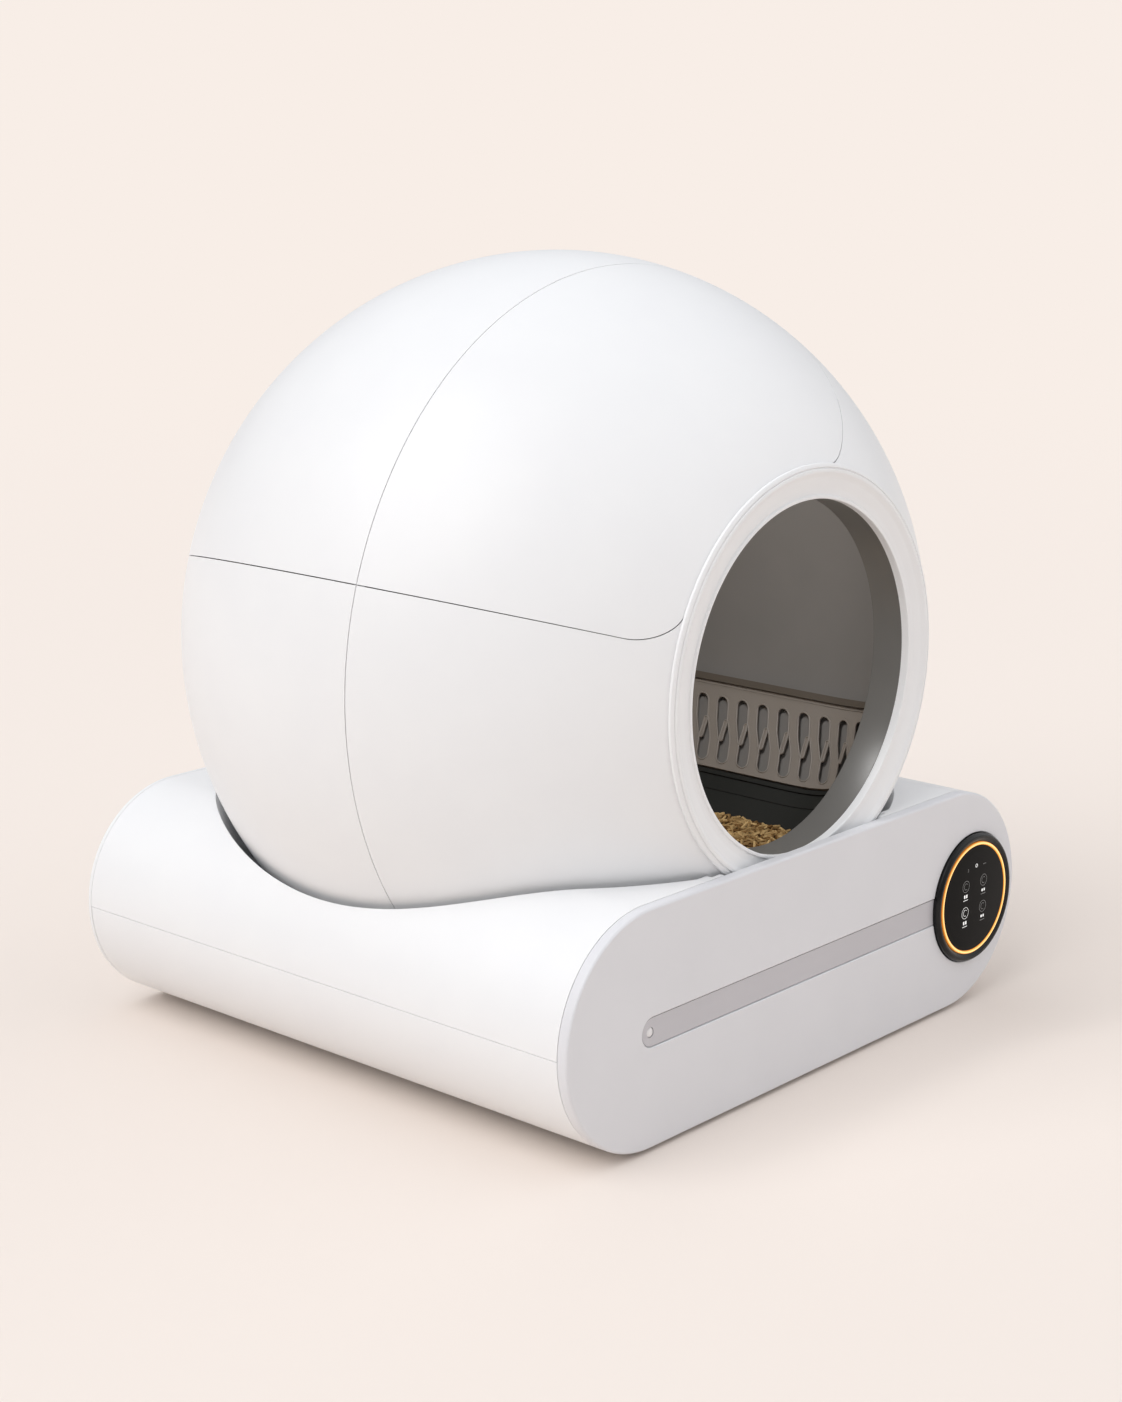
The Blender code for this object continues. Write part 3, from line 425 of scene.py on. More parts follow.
def placed(obj, slot, *nodes, body=None):
    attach(obj, body or BODY_OF[nodes[0]])
    if nodes:
        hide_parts(*nodes)
    return obj


def fillet(corners, steps=5):
    """Rounds the corners of a closed outline. A corner is (across, along, radius)."""
    outline = []
    count = len(corners)
    for index, (across, along, radius) in enumerate(corners):
        here = Vector((across, along))
        if not radius:
            outline.append(tuple(here))
            continue
        before = Vector(corners[index - 1][:2])
        after = Vector(corners[(index + 1) % count][:2])
        inwards = (before - here).normalized()
        onwards = (after - here).normalized()
        half = inwards.angle(onwards) / 2
        reach = min(radius / math.tan(half), (before - here).length * 0.49, (after - here).length * 0.49)
        for step in range(steps + 1):
            share = step / steps
            start, end = here + inwards * reach, here + onwards * reach
            outline.append(tuple(start * (1 - share) ** 2 + here * 2 * share * (1 - share) + end * share**2))
    return outline


def opened(obj):
    bm = bmesh.new()
    bm.from_mesh(obj.data)
    return bm


def written(obj, bm):
    bm.to_mesh(obj.data)
    bm.free()
    return obj


def at_clock(angle, radius, centre=(0.0, AXIS_Z)):
    """The (x, z) at a clock angle in degrees on a circle."""
    turn = math.radians(angle)
    return centre[0] + radius * math.cos(turn), centre[1] + radius * math.sin(turn)


def circle(radius, steps, centre=(0.0, AXIS_Z)):
    return [at_clock(360 * step / steps, radius, centre) for step in range(steps)]


def round_node(node):
    """A round node's lowest and highest corners, its middle as (x, z), and its radius."""
    low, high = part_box(node)
    return low, high, ((low.x + high.x) / 2, (low.z + high.z) / 2), (high.x - low.x) / 2


def lofted(name, rings, whole=False, looped=True):
    """A closed mesh through rings of points.

    whole joins the last ring to the first, in place of an end on each. looped joins a ring's last
    point to its first.
    """
    bm = bmesh.new()
    rows = [[bm.verts.new(point) for point in ring] for ring in rings]
    for here, there in zip(rows, rows[1:] + rows[:1] if whole else rows[1:]):
        count = len(here)
        for index in range(count if looped else count - 1):
            after = (index + 1) % count
            bm.faces.new((here[index], here[after], there[after], there[index]))
    if not whole:
        bm.faces.new(rows[0][::-1])
        bm.faces.new(rows[-1])
    return closed_mesh(name, bm)


def spun(name, section, clock=(0.0, 360.0), steps=192, centre=(0.0, AXIS_Z)):
    """Turns a closed section of (radius, y) about a line along Y, all round or through an arc."""
    whole = clock[1] - clock[0] >= 360
    rings = []
    for step in range(steps if whole else steps + 1):
        angle = clock[0] + (clock[1] - clock[0]) * step / steps
        places = [(at_clock(angle, radius, centre), y) for radius, y in section]
        rings.append([(x, y, z) for (x, z), y in places])
    return smooth(lofted(name, rings, whole))


def turned(name, corners, slot, node, steps=192, centre=(0.0, AXIS_Z)):
    """A finished round piece, from the corners (radius, y, rounding) of its section."""
    return fitted(spun(name, fillet(corners), steps=steps, centre=centre), slot, node)


def prism(name, outline, y_low, y_high):
    """Extrudes an outline in XZ along Y."""
    return lofted(name, [[(x, y, z) for x, z in outline] for y in (y_low, y_high)])


def block(name, low, high, edge=0.0, segments=3):
    """A rectangular moulding with its edges rounded."""
    low, high = Vector(low), Vector(high)
    bm = bmesh.new()
    bmesh.ops.create_cube(bm, size=1)
    bmesh.ops.scale(bm, vec=high - low, verts=bm.verts)
    bmesh.ops.translate(bm, vec=(low + high) / 2, verts=bm.verts)
    obj = mesh_object(name, bm)
    return softened(obj, edge, segments) if edge else obj


def stadium(inset=0.0, steps=72):
    """The base's outline: two half circles joined by straight runs."""
    radius = END_RADIUS - inset
    side = HALF_WIDTH - END_RADIUS
    outline = []
    for centre, start in ((side, -90), (-side, 90)):
        for step in range(steps + 1):
            outline.append(at_clock(start + 180 * step / steps, radius, (centre, BASE_MID)))
    return outline


def ball_point(angle, y, depth=0.0):
    """A point on the ball's skin, or that far under it."""
    radius = math.sqrt(BALL_RADIUS**2 - ((y - BALL_Y) / BALL_RATIO) ** 2)
    x, z = at_clock(angle, radius)
    skin = Vector((x, y, z))
    out = Vector((x, (y - BALL_Y) / BALL_RATIO**2, z - AXIS_Z)).normalized()
    return skin - out * depth, out


def drum_radius(y, inset=0.0):
    """The barrel's radius at y, moved inwards by inset."""
    if y < FRONT_FLAT:
        reach = (FRONT_FLAT - y) / (FRONT_DEPTH - inset)
    elif y > BACK_FLAT:
        reach = (y - BACK_FLAT) / (BACK_DEPTH - inset)
    else:
        reach = 0.0
    return (DRUM_RADIUS - inset) * max(0.0, 1 - reach**DRUM_POWER) ** (1 / DRUM_POWER)


def drum_line(start, stop, inset, steps=56):
    """Points (radius, y) along a skin of the barrel, closer together where it bends."""
    line = []
    for step in range(steps + 1):
        share = 0.5 - 0.5 * math.cos(math.pi * step / steps)
        y = start + (stop - start) * share
        line.append((drum_radius(y, inset), y))
    return line


def swept(name, path, section):
    """Carries a closed section of (sideways, outwards) along a path of (point, outwards)."""
    rings = []
    for index, (point, out) in enumerate(path):
        ahead = path[min(index + 1, len(path) - 1)][0] - path[max(index - 1, 0)][0]
        side = ahead.normalized().cross(out)
        rings.append([point + side * across + out * up for across, up in section])
    return smooth(lofted(name, rings))


# ---------------------------------------------------------------- Geometry Nodes trees


def node_tree(name, sockets):
    """A tree with a Material input and others, and its Group Input node.

    An input's default value is a float or a whole number, or None for an object.
    """
    tree = bpy.data.node_groups.new(name, "GeometryNodeTree")
    tree.interface.new_socket("Geometry", in_out="INPUT", socket_type="NodeSocketGeometry")
    tree.interface.new_socket("Material", in_out="INPUT", socket_type="NodeSocketMaterial")
    kinds = {float: "NodeSocketFloat", int: "NodeSocketInt", type(None): "NodeSocketObject"}
    for label, value in sockets.items():
        socket = tree.interface.new_socket(label, in_out="INPUT", socket_type=kinds[type(value)])
        if value is not None:
            socket.default_value = value
    tree.interface.new_socket("Geometry", in_out="OUTPUT", socket_type="NodeSocketGeometry")
    return tree, tree.nodes.new("NodeGroupInput")


def ended(tree, geometry, given):
    """Ends a tree with Realize Instances and Set Material."""
    whole = add(tree, "GeometryNodeRealizeInstances", {0: geometry})
    painted = add(tree, "GeometryNodeSetMaterial", {0: whole, "Material": given.outputs["Material"]})
    add(tree, "NodeGroupOutput", {0: painted})
    return tree


def grown(name, tree, values, start=None):
    """Runs a tree on a mesh and keeps the result as a plain mesh."""
    obj = start or linked(name, bpy.data.meshes.new(name))
    obj.name = name
    modifier = obj.modifiers.new(tree.name, "NODES")
    modifier.node_group = tree
    for item in tree.interface.items_tree:
        if item.in_out == "INPUT" and item.name in values:
            modifier[item.identifier] = values[item.name]
    return settle(obj)


def ball_panel_tree():
    """One panel of the ball: a grid bent onto it between two clock angles and two edges.

    Near each seam an edge rises from the ring in a quarter of an ellipse, which rounds the hatch's
    corners: Front Rise and Back Rise say how much of that rise the panel's two edges take.
    """
    tree, given = node_tree(
        "ball_panel",
        {
            "Clock Start": 0.0,
            "Clock End": 90.0,
            "Front": RING_SEAT,
            "Back": SEAM_Y,
            "Front Rise": 0.0,
            "Back Rise": 0.0,
            "First Seam": SEAM_RIGHT,
            "Last Seam": SEAM_LEFT,
            "Columns": 120,
            "Rows": 40,
        },
    )
    value = given.outputs

    def maths(operation, *values):
        return add(tree, "ShaderNodeMath", dict(enumerate(values)), operation=operation)

    def remapped(*values):
        """Value, from low, from high, to low, to high."""
        return add(tree, "ShaderNodeMapRange", dict(enumerate(values)))

    size = {"Size X": 1.0, "Size Y": 1.0, "Vertices X": value["Columns"], "Vertices Y": value["Rows"]}
    grid = add(tree, "GeometryNodeMeshGrid", size)
    place = add(tree, "ShaderNodeSeparateXYZ", {0: add(tree, "GeometryNodeInputPosition")})
    eased = maths("COSINE", maths("MULTIPLY_ADD", place, math.pi, math.pi / 2))
    clock = remapped(eased, 1.0, -1.0, value["Clock Start"], value["Clock End"])
    rises = []
    for seam, reach, corner_y in (("First Seam", RIGHT_ANGLE, RIGHT_Y), ("Last Seam", -LEFT_ANGLE, LEFT_Y)):
        share = remapped(maths("SUBTRACT", clock, value[seam]), 0.0, reach, 1.0, 0.0)
        root = maths("SQRT", maths("SUBTRACT", 1.0, maths("POWER", share, 2.0)))
        rises.append(remapped(root, 1.0, 0.0, 0.0, corner_y - RING_SEAT))
    rise = maths("MAXIMUM", *rises)
    front = maths("MULTIPLY_ADD", rise, value["Front Rise"], value["Front"])
    back = maths("MULTIPLY_ADD", rise, value["Back Rise"], value["Back"])
    y = remapped(place.outputs[1], -0.5, 0.5, front, back)
    flat = maths("DIVIDE", maths("SUBTRACT", y, BALL_Y), BALL_RATIO)
    radius = maths("SQRT", maths("SUBTRACT", BALL_RADIUS**2, maths("MULTIPLY", flat, flat)))
    angle = maths("RADIANS", clock)
    x = maths("MULTIPLY", radius, maths("COSINE", angle))
    z = maths("MULTIPLY_ADD", radius, maths("SINE", angle), AXIS_Z)
    point = add(tree, "ShaderNodeCombineXYZ", {0: x, 1: y, 2: z})
    bent_grid = add(tree, "GeometryNodeSetPosition", {"Geometry": grid, "Position": point})
    return ended(tree, add(tree, "GeometryNodeFlipFaces", {0: bent_grid}), given)


def copies_tree():
    """Copies of one mesh on the points of another, each turned to its point's own turn."""
    tree, given = node_tree("copies_on_points", {"Copied": None})
    source = add(tree, "GeometryNodeObjectInfo", {"Object": given.outputs["Copied"]})
    points = add(tree, "GeometryNodeMeshToPoints", {0: given.outputs[0]})
    own_turn = add(tree, "GeometryNodeInputNamedAttribute", {0: "turn"}, data_type="FLOAT_VECTOR")
    copied = {"Points": points, "Instance": source.outputs["Geometry"], "Rotation": own_turn}
    return ended(tree, add(tree, "GeometryNodeInstanceOnPoints", copied), given)


def slot_rims_tree():
    """A row of raised rims: one outline at an even pitch, with a round bead carried along it."""
    tree, given = node_tree("slot_rims", {"Outline": None, "Pitch": SLOT_PITCH, "Count": 10, "Bead": 0.0006})
    outline = add(tree, "GeometryNodeObjectInfo", {"Object": given.outputs["Outline"]})
    line = add(tree, "GeometryNodeMeshToCurve", {0: outline.outputs["Geometry"]})
    bead = add(tree, "GeometryNodeCurvePrimitiveCircle", {"Resolution": 8, "Radius": given.outputs["Bead"]})
    rim = add(tree, "GeometryNodeCurveToMesh", {"Curve": line, "Profile Curve": bead})
    step = add(tree, "ShaderNodeCombineXYZ", {0: given.outputs["Pitch"]})
    row = add(tree, "GeometryNodeMeshLine", {"Count": given.outputs["Count"], "Offset": step})
    return ended(tree, add(tree, "GeometryNodeInstanceOnPoints", {"Points": row, "Instance": rim}), given)


def pellets_tree():
    """Pellets strewn over a surface, each with its own turn, size and shade."""
    inputs = {"Pellet": None, "Spacing": 0.0027, "Density": 90000.0, "Seed": 7}
    tree, given = node_tree("strewn_pellets", inputs)

    def drawn(low, high, seed):
        limits = {0: low, 1: high, "Seed": seed}
        return add(tree, "FunctionNodeRandomValue", limits, data_type="FLOAT_VECTOR")

    source = add(tree, "GeometryNodeObjectInfo", {"Object": given.outputs["Pellet"]})
    strewn = {
        "Mesh": given.outputs[0],
        "Distance Min": given.outputs["Spacing"],
        "Density Max": given.outputs["Density"],
        "Seed": given.outputs["Seed"],
    }
    copied = {
        "Points": add(tree, "GeometryNodeDistributePointsOnFaces", strewn, distribute_method="POISSON"),
        "Instance": source.outputs["Geometry"],
        "Rotation": drawn((-0.35, -0.35, 0.0), (0.35, 0.35, 2 * math.pi), 11),
        "Scale": drawn((0.75, 0.85, 0.85), (1.30, 1.10, 1.10), 12),
    }
    copies = add(tree, "GeometryNodeInstanceOnPoints", copied)
    own = add(tree, "FunctionNodeRandomValue", {2: 0.0, 3: 1.0, "Seed": 13}, data_type="FLOAT")
    stored = {"Geometry": copies, "Name": "shade", "Value": own.outputs[1]}
    shaded = add(tree, "GeometryNodeStoreNamedAttribute", stored, data_type="FLOAT", domain="INSTANCE")
    return ended(tree, shaded, given)


def copies_at(name, source, places, slot):
    """Copies of source at each (point, turn), as one mesh. The source is removed."""
    bm = bmesh.new()
    for point, _ in places:
        bm.verts.new(point)
    points = mesh_object(name, bm)
    turns = points.data.attributes.new("turn", "FLOAT_VECTOR", "POINT")
    for item, (_, turn) in zip(turns.data, places):
        item.vector = turn
    made = grown(name, COPIES, {"Copied": source, "Material": MATERIALS[slot]}, points)
    bpy.data.objects.remove(source)
    return smooth(made)


BALL_PANEL = ball_panel_tree()
COPIES = copies_tree()
SLOT_RIMS = slot_rims_tree()
PELLETS = pellets_tree()


# ---------------------------------------------------------------- hood


def ball_shell(name, node, *patches):
    """One shell of the hood from patches of the ball, given its wall and rounded rims."""
    skins = [grown("patch", BALL_PANEL, {"Material": MATERIALS["white_abs"], **patch}) for patch in patches]
    bm = bmesh.new()
    for skin in skins:
        bm.from_mesh(skin.data)
        bpy.data.objects.remove(skin)
    bmesh.ops.remove_doubles(bm, verts=bm.verts, dist=0.00002)
    everything = bm.verts[:] + bm.edges[:] + bm.faces[:]
    foot = {"plane_co": (0, 0, BALL_FOOT), "plane_no": (0, 0, -1)}
    bmesh.ops.bisect_plane(bm, geom=everything, clear_outer=True, **foot)
    shell = mesh_object(name, bm)
    softened(walled(shell, WALL), 0.0005, 3, 50)
    return fitted(shell, "white_abs", node)


def seam_spread(y):
    """The clock angle that half a seam's width spans on the ball at y."""
    return math.degrees(SEAM_HALF / math.sqrt(BALL_RADIUS**2 - ((y - BALL_Y) / BALL_RATIO) ** 2))


def hood_shells():
    turn = seam_spread(SEAM_Y)
    around = {"Clock Start": SEAM_LEFT + turn, "Clock End": SEAM_RIGHT + 360 - turn}
    front_back = SEAM_Y - SEAM_HALF
    seams = {"First Seam": SEAM_RIGHT - turn, "Last Seam": SEAM_LEFT + turn}
    wedge = {**seams, "Front": RING_SEAT, "Back": RING_SEAT, "Back Rise": 1.0, "Columns": 48}
    ball_shell(
        "front_shell",
        "hood_front_shell",
        {**around, "Front": RING_SEAT, "Back": LEFT_Y, "Columns": 260, "Rows": 10},
        {**around, "Front": LEFT_Y, "Back": RIGHT_Y, "Columns": 260, "Rows": 20},
        {**around, "Front": RIGHT_Y, "Back": front_back, "Columns": 260, "Rows": 30},
        {**wedge, "Clock Start": SEAM_RIGHT - turn, "Clock End": SEAM_RIGHT - turn + RIGHT_ANGLE, "Rows": 29},
        {**wedge, "Clock Start": SEAM_LEFT + turn - LEFT_ANGLE, "Clock End": SEAM_LEFT + turn, "Rows": 10},
    )
    inner = {"Clock Start": SEAM_RIGHT + turn, "Clock End": SEAM_LEFT - turn}
    hatch = {**inner, "First Seam": SEAM_RIGHT + turn, "Last Seam": SEAM_LEFT - turn}
    edges = {"Front": RING_SEAT + SEAM_HALF, "Back": front_back, "Front Rise": 1.0}
    ball_shell("hatch_shell", "hood_hatch", {**hatch, **edges, "Columns": 200, "Rows": 56})
    rear = {"Front": SEAM_Y + SEAM_HALF, "Back": BALL_BACK, "Rows": 70}
    ball_shell("rear_upper_shell", "hood_rear_upper", {**rear, **inner, "Columns": 160})
    ball_shell("rear_lower_shell", "hood_rear_lower", {**rear, **around, "Columns": 260})


def corner_line(seam, angle, corner_y, steps=24):
    """The hatch's rounded corner: (clock angle, y) from its side seam down to the ring."""
    line = []
    for step in range(steps + 1):
        turn = math.pi / 2 * step / steps
        line.append((seam + angle * (1 - math.cos(turn)), corner_y + (RING_SEAT - corner_y) * math.sin(turn)))
    return line


def seam_beads():
    """Lap strips behind the seams: a tongue stands in each groove and a flange backs both shells."""
    tongue, lip, flange = SEAM_HALF - 0.00008, 0.0042, 0.0052
    sections = [
        [
            (-tongue, -sunk), (tongue, -sunk), (tongue, -WALL - 0.0001), (0.004, -WALL - 0.0001),
            (0.004, -lip), (-0.004, -lip), (-0.004, -WALL - 0.0001), (-tongue, -WALL - 0.0001),
        ]
        for sunk in (0.0009, 0.0024, 0.0024)
    ]
    across_foot = math.degrees(math.asin((BALL_FOOT + flange - AXIS_Z) / BALL_RADIUS))
    hoop = [across_foot + (180 - 2 * across_foot) * step / 240 for step in range(241)]
    lines = [[(angle, SEAM_Y) for angle in hoop]]
    for seam, angle, corner_y in ((SEAM_RIGHT, RIGHT_ANGLE, RIGHT_Y), (SEAM_LEFT, -LEFT_ANGLE, LEFT_Y)):
        rear = [BALL_BACK - 0.001 + (SEAM_Y + flange - BALL_BACK) * step / 60 for step in range(61)]
        lines.append([(seam, y) for y in rear])
        front = [SEAM_Y - flange + (corner_y + flange - SEAM_Y) * step / 40 for step in range(40)]
        lines.append([(seam, y) for y in front] + corner_line(seam, angle, corner_y)[:-1])
    paths = [[ball_point(angle, y) for angle, y in line] for line in lines]
    beads = [swept("bead", path, section) for path, section in zip(paths, sections)]
    fitted(joined("seam_lap_strips", beads), "white_abs", body="base")


def entry_ring():
    """The white ring: a side band, a fine groove, a bright crest, a hollowed face and a thin lip."""
    outer = RING_OUTER
    crest = RING_CREST
    corners = [
        (RING_RADIUS - 0.0095, RING_SEAT, 0.0002),
        (outer, RING_SEAT, 0.0003),
        (outer, crest + 0.0018, 0.0012),
        (outer - 0.0026, crest + 0.0006, 0.0003),
        (outer - 0.0029, crest + 0.0014, 0.0002),
        (outer - 0.0035, crest + 0.0014, 0.0002),
        (outer - 0.0040, crest + 0.0002, 0.0004),
        (outer - 0.0060, crest, 0.0014),
        (outer - 0.0095, crest + 0.0022, 0.0050),
        (MOUTH_RADIUS + 0.0075, crest + 0.0040, 0.0050),
        (MOUTH_RADIUS + 0.0030, crest + 0.0044, 0.0010),
        (MOUTH_RADIUS + 0.0022, crest + 0.0030, 0.0004),
        (MOUTH_RADIUS, crest + 0.0030, 0.0008),
        (MOUTH_RADIUS, crest + 0.0090, 0.0002),
        (RING_RADIUS - 0.0095, crest + 0.0090, 0.0002),
    ]
    turned("mouth_ring", corners, "white_abs", "entry_ring", 288)

    front = crest + 0.0090 + GAP
    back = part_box("entry_collar")[1].y
    inner = MOUTH_RADIUS + 0.0005
    collar = [
        (MOUTH_RADIUS + 0.0190, front + 0.0025, 0.0003),
        (MOUTH_RADIUS + 0.0190, front, 0.0003),
        (inner, front, 0.0006),
        (inner, back, 0.0010),
        (inner + 0.0025, back, 0.0008),
        (inner + 0.0025, front + 0.0025, 0.0004),
    ]
    turned("mouth_collar", collar, "collar_grey", "entry_collar", 256)


def back_plate():
    low, high, middle, radius = round_node("hood_back_plate")
    recess = high.y - 0.0006
    corners = [
        (0.0, recess, 0), (radius - 0.024, recess, 0.0006), (radius - 0.0245, high.y, 0.0004),
        (radius, high.y, 0.0012), (radius, low.y, 0.0003), (0.0, low.y, 0),
    ]
    turned("back_cover", corners, "white_abs", "hood_back_plate")

    nodes = [f"back_plate_screw_{number}" for number in range(1, 5)]
    low, high, middle, head = round_node(nodes[0])
    section = [(0.0, low.y, 0), (head, low.y, 0.0002), (head, high.y - 0.0008, 0.0009), (0.0, high.y, 0)]
    screw = spun("screw", fillet(section), steps=32, centre=(0.0, 0.0))
    arm, wide = head * 0.55, 0.0005
    for across, up in ((arm, wide), (wide, arm)):
        carved(screw, block("drive", (-across, high.y - 0.0011, -up), (across, high.y + 0.001, up)))
    places = []
    for number, node in enumerate(nodes):
        x, z = round_node(node)[2]
        places.append(((x, 0.0, z), (0.0, 0.3 + number, 0.0)))
    fitted(copies_at("back_cover_screws", screw, places, "motor_steel"), "motor_steel", *nodes)


# ---------------------------------------------------------------- base


def oval(radius, z, steps):
    """The ball's round at a height, which is a little shorter along Y than across."""
    turns = [2 * math.pi * step / steps for step in range(steps)]
    return [(radius * math.cos(t), BALL_Y + BALL_RATIO * radius * math.sin(t), z) for t in turns]


def well_cutter(name, radius, floor, y_low, y_high):
    """The ball-shaped room of the well above its floor, flat at the front and the back."""
    top, levels = 0.200, 26
    heights = [floor + (top - floor) * level / levels for level in range(levels + 1)]
    rings = [oval(math.sqrt(radius**2 - (z - AXIS_Z) ** 2), z, 224) for z in heights]
    limits = block(name + "_limits", (-0.35, y_low, 0.05), (0.35, y_high, 0.25))
    return carved(lofted(name, rings), limits, operation="INTERSECT")


def on_outside(point):
    """Whether a point is on the base's outer skin."""
    across = max(0.0, abs(point.x) - (HALF_WIDTH - END_RADIUS))
    return abs(math.hypot(across, point.z - BASE_MID) - END_RADIUS) < 0.00015


def slab(low, high):
    """A cutter wider than the base, between two heights."""
    return block("slab", (-0.3, -0.3, low), (0.3, 0.3, high))


def hollow():
    return prism("hollow", stadium(WALL), INNER_FRONT, BODY_BACK - WALL)


def jack_room():
    middle, radius = round_node("power_inlet")[2:]
    return prism("jack_room", circle(radius + GAP, 48, middle), 0.2, 0.3)


def round_edges(obj, chosen, width, segments):
    """Bevels the sharp edges whose middle the chosen rule accepts."""
    bm = opened(obj)
    edges = [
        edge
        for edge in bm.edges
        if len(edge.link_faces) == 2
        and edge.calc_face_angle(0) > math.radians(25)
        and chosen((edge.verts[0].co + edge.verts[1].co) / 2)
    ]
    bmesh.ops.bevel(
        bm, geom=edges, offset=width, segments=segments, profile=0.5, affect="EDGES", clamp_overlap=True
    )
    written(obj, bm)
    obj.data.shade_smooth()
    obj.modifiers.new("flats", "WEIGHTED_NORMAL").keep_sharp = True
    obj.data.set_sharp_from_angle(angle=math.radians(35))
    return settle(obj)


def edges_at(y):
    """A rule for round_edges: the edges in one plane across Y."""
    return lambda point: abs(point.y - y) < 0.0001


def upper_cover():
    """The cover, with the ball's well, the drum's hole, and the room and the notch of the ring."""
    skin = 0.0025
    inside = well_cutter(
        "skin", WELL_RADIUS + skin, WELL_FLOOR - skin, BODY_FRONT + 0.001, BODY_BACK - 0.001
    )
    cover = carved(
        prism("upper_cover", stadium(), BODY_FRONT, BODY_BACK),
        slab(-0.1, BASE_MID + 0.0001),
        carved(hollow(), inside),
        well_cutter("well", WELL_RADIUS, WELL_FLOOR, WELL_FRONT, WELL_BACK),
        lofted("hole", [oval(WELL_HOLE, z, 128) for z in (0.09, 0.15)]),
        prism("recess", circle(RING_RECESS, 256), INNER_FRONT, -0.2),
        prism("notch", circle(RING_NOTCH, 256), -0.25, -0.2),
    )

    def lip(point):
        return on_outside(point) and point.z > BASE_MID + 0.002

    fitted(round_edges(cover, lip, 0.0011, 3), "white_abs", "base_upper_cover")


def lower_shell():
    """The tray, with the drawer's doorway, the window of the contacts and the jack's hole."""
    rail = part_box("drawer_rail_right")[1].x + GAP
    doorway_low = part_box("drawer_bin")[0].z - GAP
    plug_low, plug_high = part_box("panel_contact_block")
    room = 0.0005
    window_low = (plug_low.x - room, -0.24, plug_low.z - room)
    window_high = (plug_high.x + room, INNER_FRONT + 0.002, plug_high.z + room)
    lower = carved(
        prism("lower_shell", stadium(), BODY_FRONT, BODY_BACK),
        slab(BASE_MID - GAP, 0.3),
        hollow(),
        block("doorway", (-rail, BODY_FRONT - 0.01, doorway_low), (rail, INNER_FRONT + 0.001, 0.2)),
        block("window", window_low, window_high),
        jack_room(),
    )
    fitted(round_edges(lower, on_outside, 0.0005, 2), "white_abs", "base_lower_shell")


def lap_strip():
    """The strip that backs the seam between the cover and the tray."""
    lap = prism("shell_lap_strip", stadium(0.0008), INNER_FRONT + 0.0005, BODY_BACK - WALL - 0.0005)
    carved(
        lap,
        prism("lap_room", stadium(WALL - 0.0002), -0.3, 0.3),
        slab(BASE_MID + 0.00005, 0.3),
        slab(-0.1, BASE_MID - GAP + 0.00005),
    )
    fitted(smooth(lap), "white_abs", body="base")


def back_panel():
    rear = prism("back_panel", stadium(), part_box("rear_panel")[0].y, BASE_BACK)
    round_edges(rear, edges_at(BASE_BACK), 0.0016, 4)
    fitted(smooth(carved(rear, jack_room()), 35), "white_abs", "rear_panel")


def feet():
    nodes = [node for node in frame["nodes"] if node.startswith("foot_")]
    low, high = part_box(nodes[0])
    radius, tall = (high.x - low.x) / 2, high.z - low.z
    corners = [
        (0.0, tall, 0), (radius - 0.0008, tall, 0.0002), (radius, 0.0008, 0.0006),
        (radius - 0.0010, 0.0, 0.0004), (radius - 0.0030, 0.0, 0.0002), (radius - 0.0034, 0.0006, 0.0002),
        (0.0, 0.0006, 0),
    ]
    section = fillet(corners)
    turns = [2 * math.pi * step / 48 for step in range(48)]
    rings = [[(r * math.cos(t), r * math.sin(t), z) for r, z in section] for t in turns]
    foot = smooth(lofted("foot", rings, whole=True))
    places = []
    for node in nodes:
        low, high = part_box(node)
        places.append((((low.x + high.x) / 2, (low.y + high.y) / 2, low.z), (0.0, 0.0, 0.0)))
    fitted(copies_at("rubber_feet", foot, places, "rubber_grey"), "rubber_grey", *nodes)


# ---------------------------------------------------------------- front panel


def strip_outline(inset, steps=32):
    """The strip from its round left end to the middle of the display."""
    radius = (STRIP_HIGH.z - STRIP_LOW.z) / 2 + GAP
    middle = (STRIP_HIGH.z + STRIP_LOW.z) / 2
    centre = STRIP_LOW.x - GAP + radius
    reach = radius - inset
    outline = [(DISC[0], middle - reach), (DISC[0], middle + reach)]
    outline += [at_clock(90 + 180 * step / steps, reach, (centre, middle)) for step in range(steps + 1)]
    return outline


def front_panel():
    """The panel with its pocket and seat, the strip in the pocket and the lamp in the strip."""
    panel = prism("drawer_front", stadium(), BASE_FRONT, PANEL_BACK)
    round_edges(panel, edges_at(BASE_FRONT), 0.0020, 6)
    round_edges(panel, edges_at(PANEL_BACK), 0.0004, 2)
    seat = circle(BEZEL_RADIUS + 0.0004, 160, DISC)
    carved(
        panel,
        prism("pocket", strip_outline(-0.0002), BASE_FRONT - 0.005, BASE_FRONT + 0.0022),
        prism("seat", seat, BASE_FRONT - 0.01, BASE_FRONT + 0.0055),
    )
    fitted(round_edges(panel, edges_at(BASE_FRONT), 0.0008, 3), "panel_grey", "front_panel")

    low, high, middle, radius = round_node("status_led")
    strip = carved(
        prism("diffuser_strip", strip_outline(0.0004), STRIP_LOW.y, STRIP_HIGH.y),
        prism("seat", circle(BEZEL_RADIUS + 0.0001, 160, DISC), -0.3, -0.2),
        prism("lamp_hole", circle(radius + 0.0004, 48, middle), -0.3, -0.2),
    )
    fitted(round_edges(strip, edges_at(STRIP_LOW.y), 0.0003, 2), "strip_grey", "light_strip")
    dome = [
        (0.0, low.y, 0), (radius * 0.6, low.y + 0.0002, 0.001), (radius, low.y + 0.0008, 0.0008),
        (radius, high.y, 0.0002), (0.0, high.y, 0),
    ]
    turned("lamp_dome", dome, "lamp", "status_led", 48, middle)


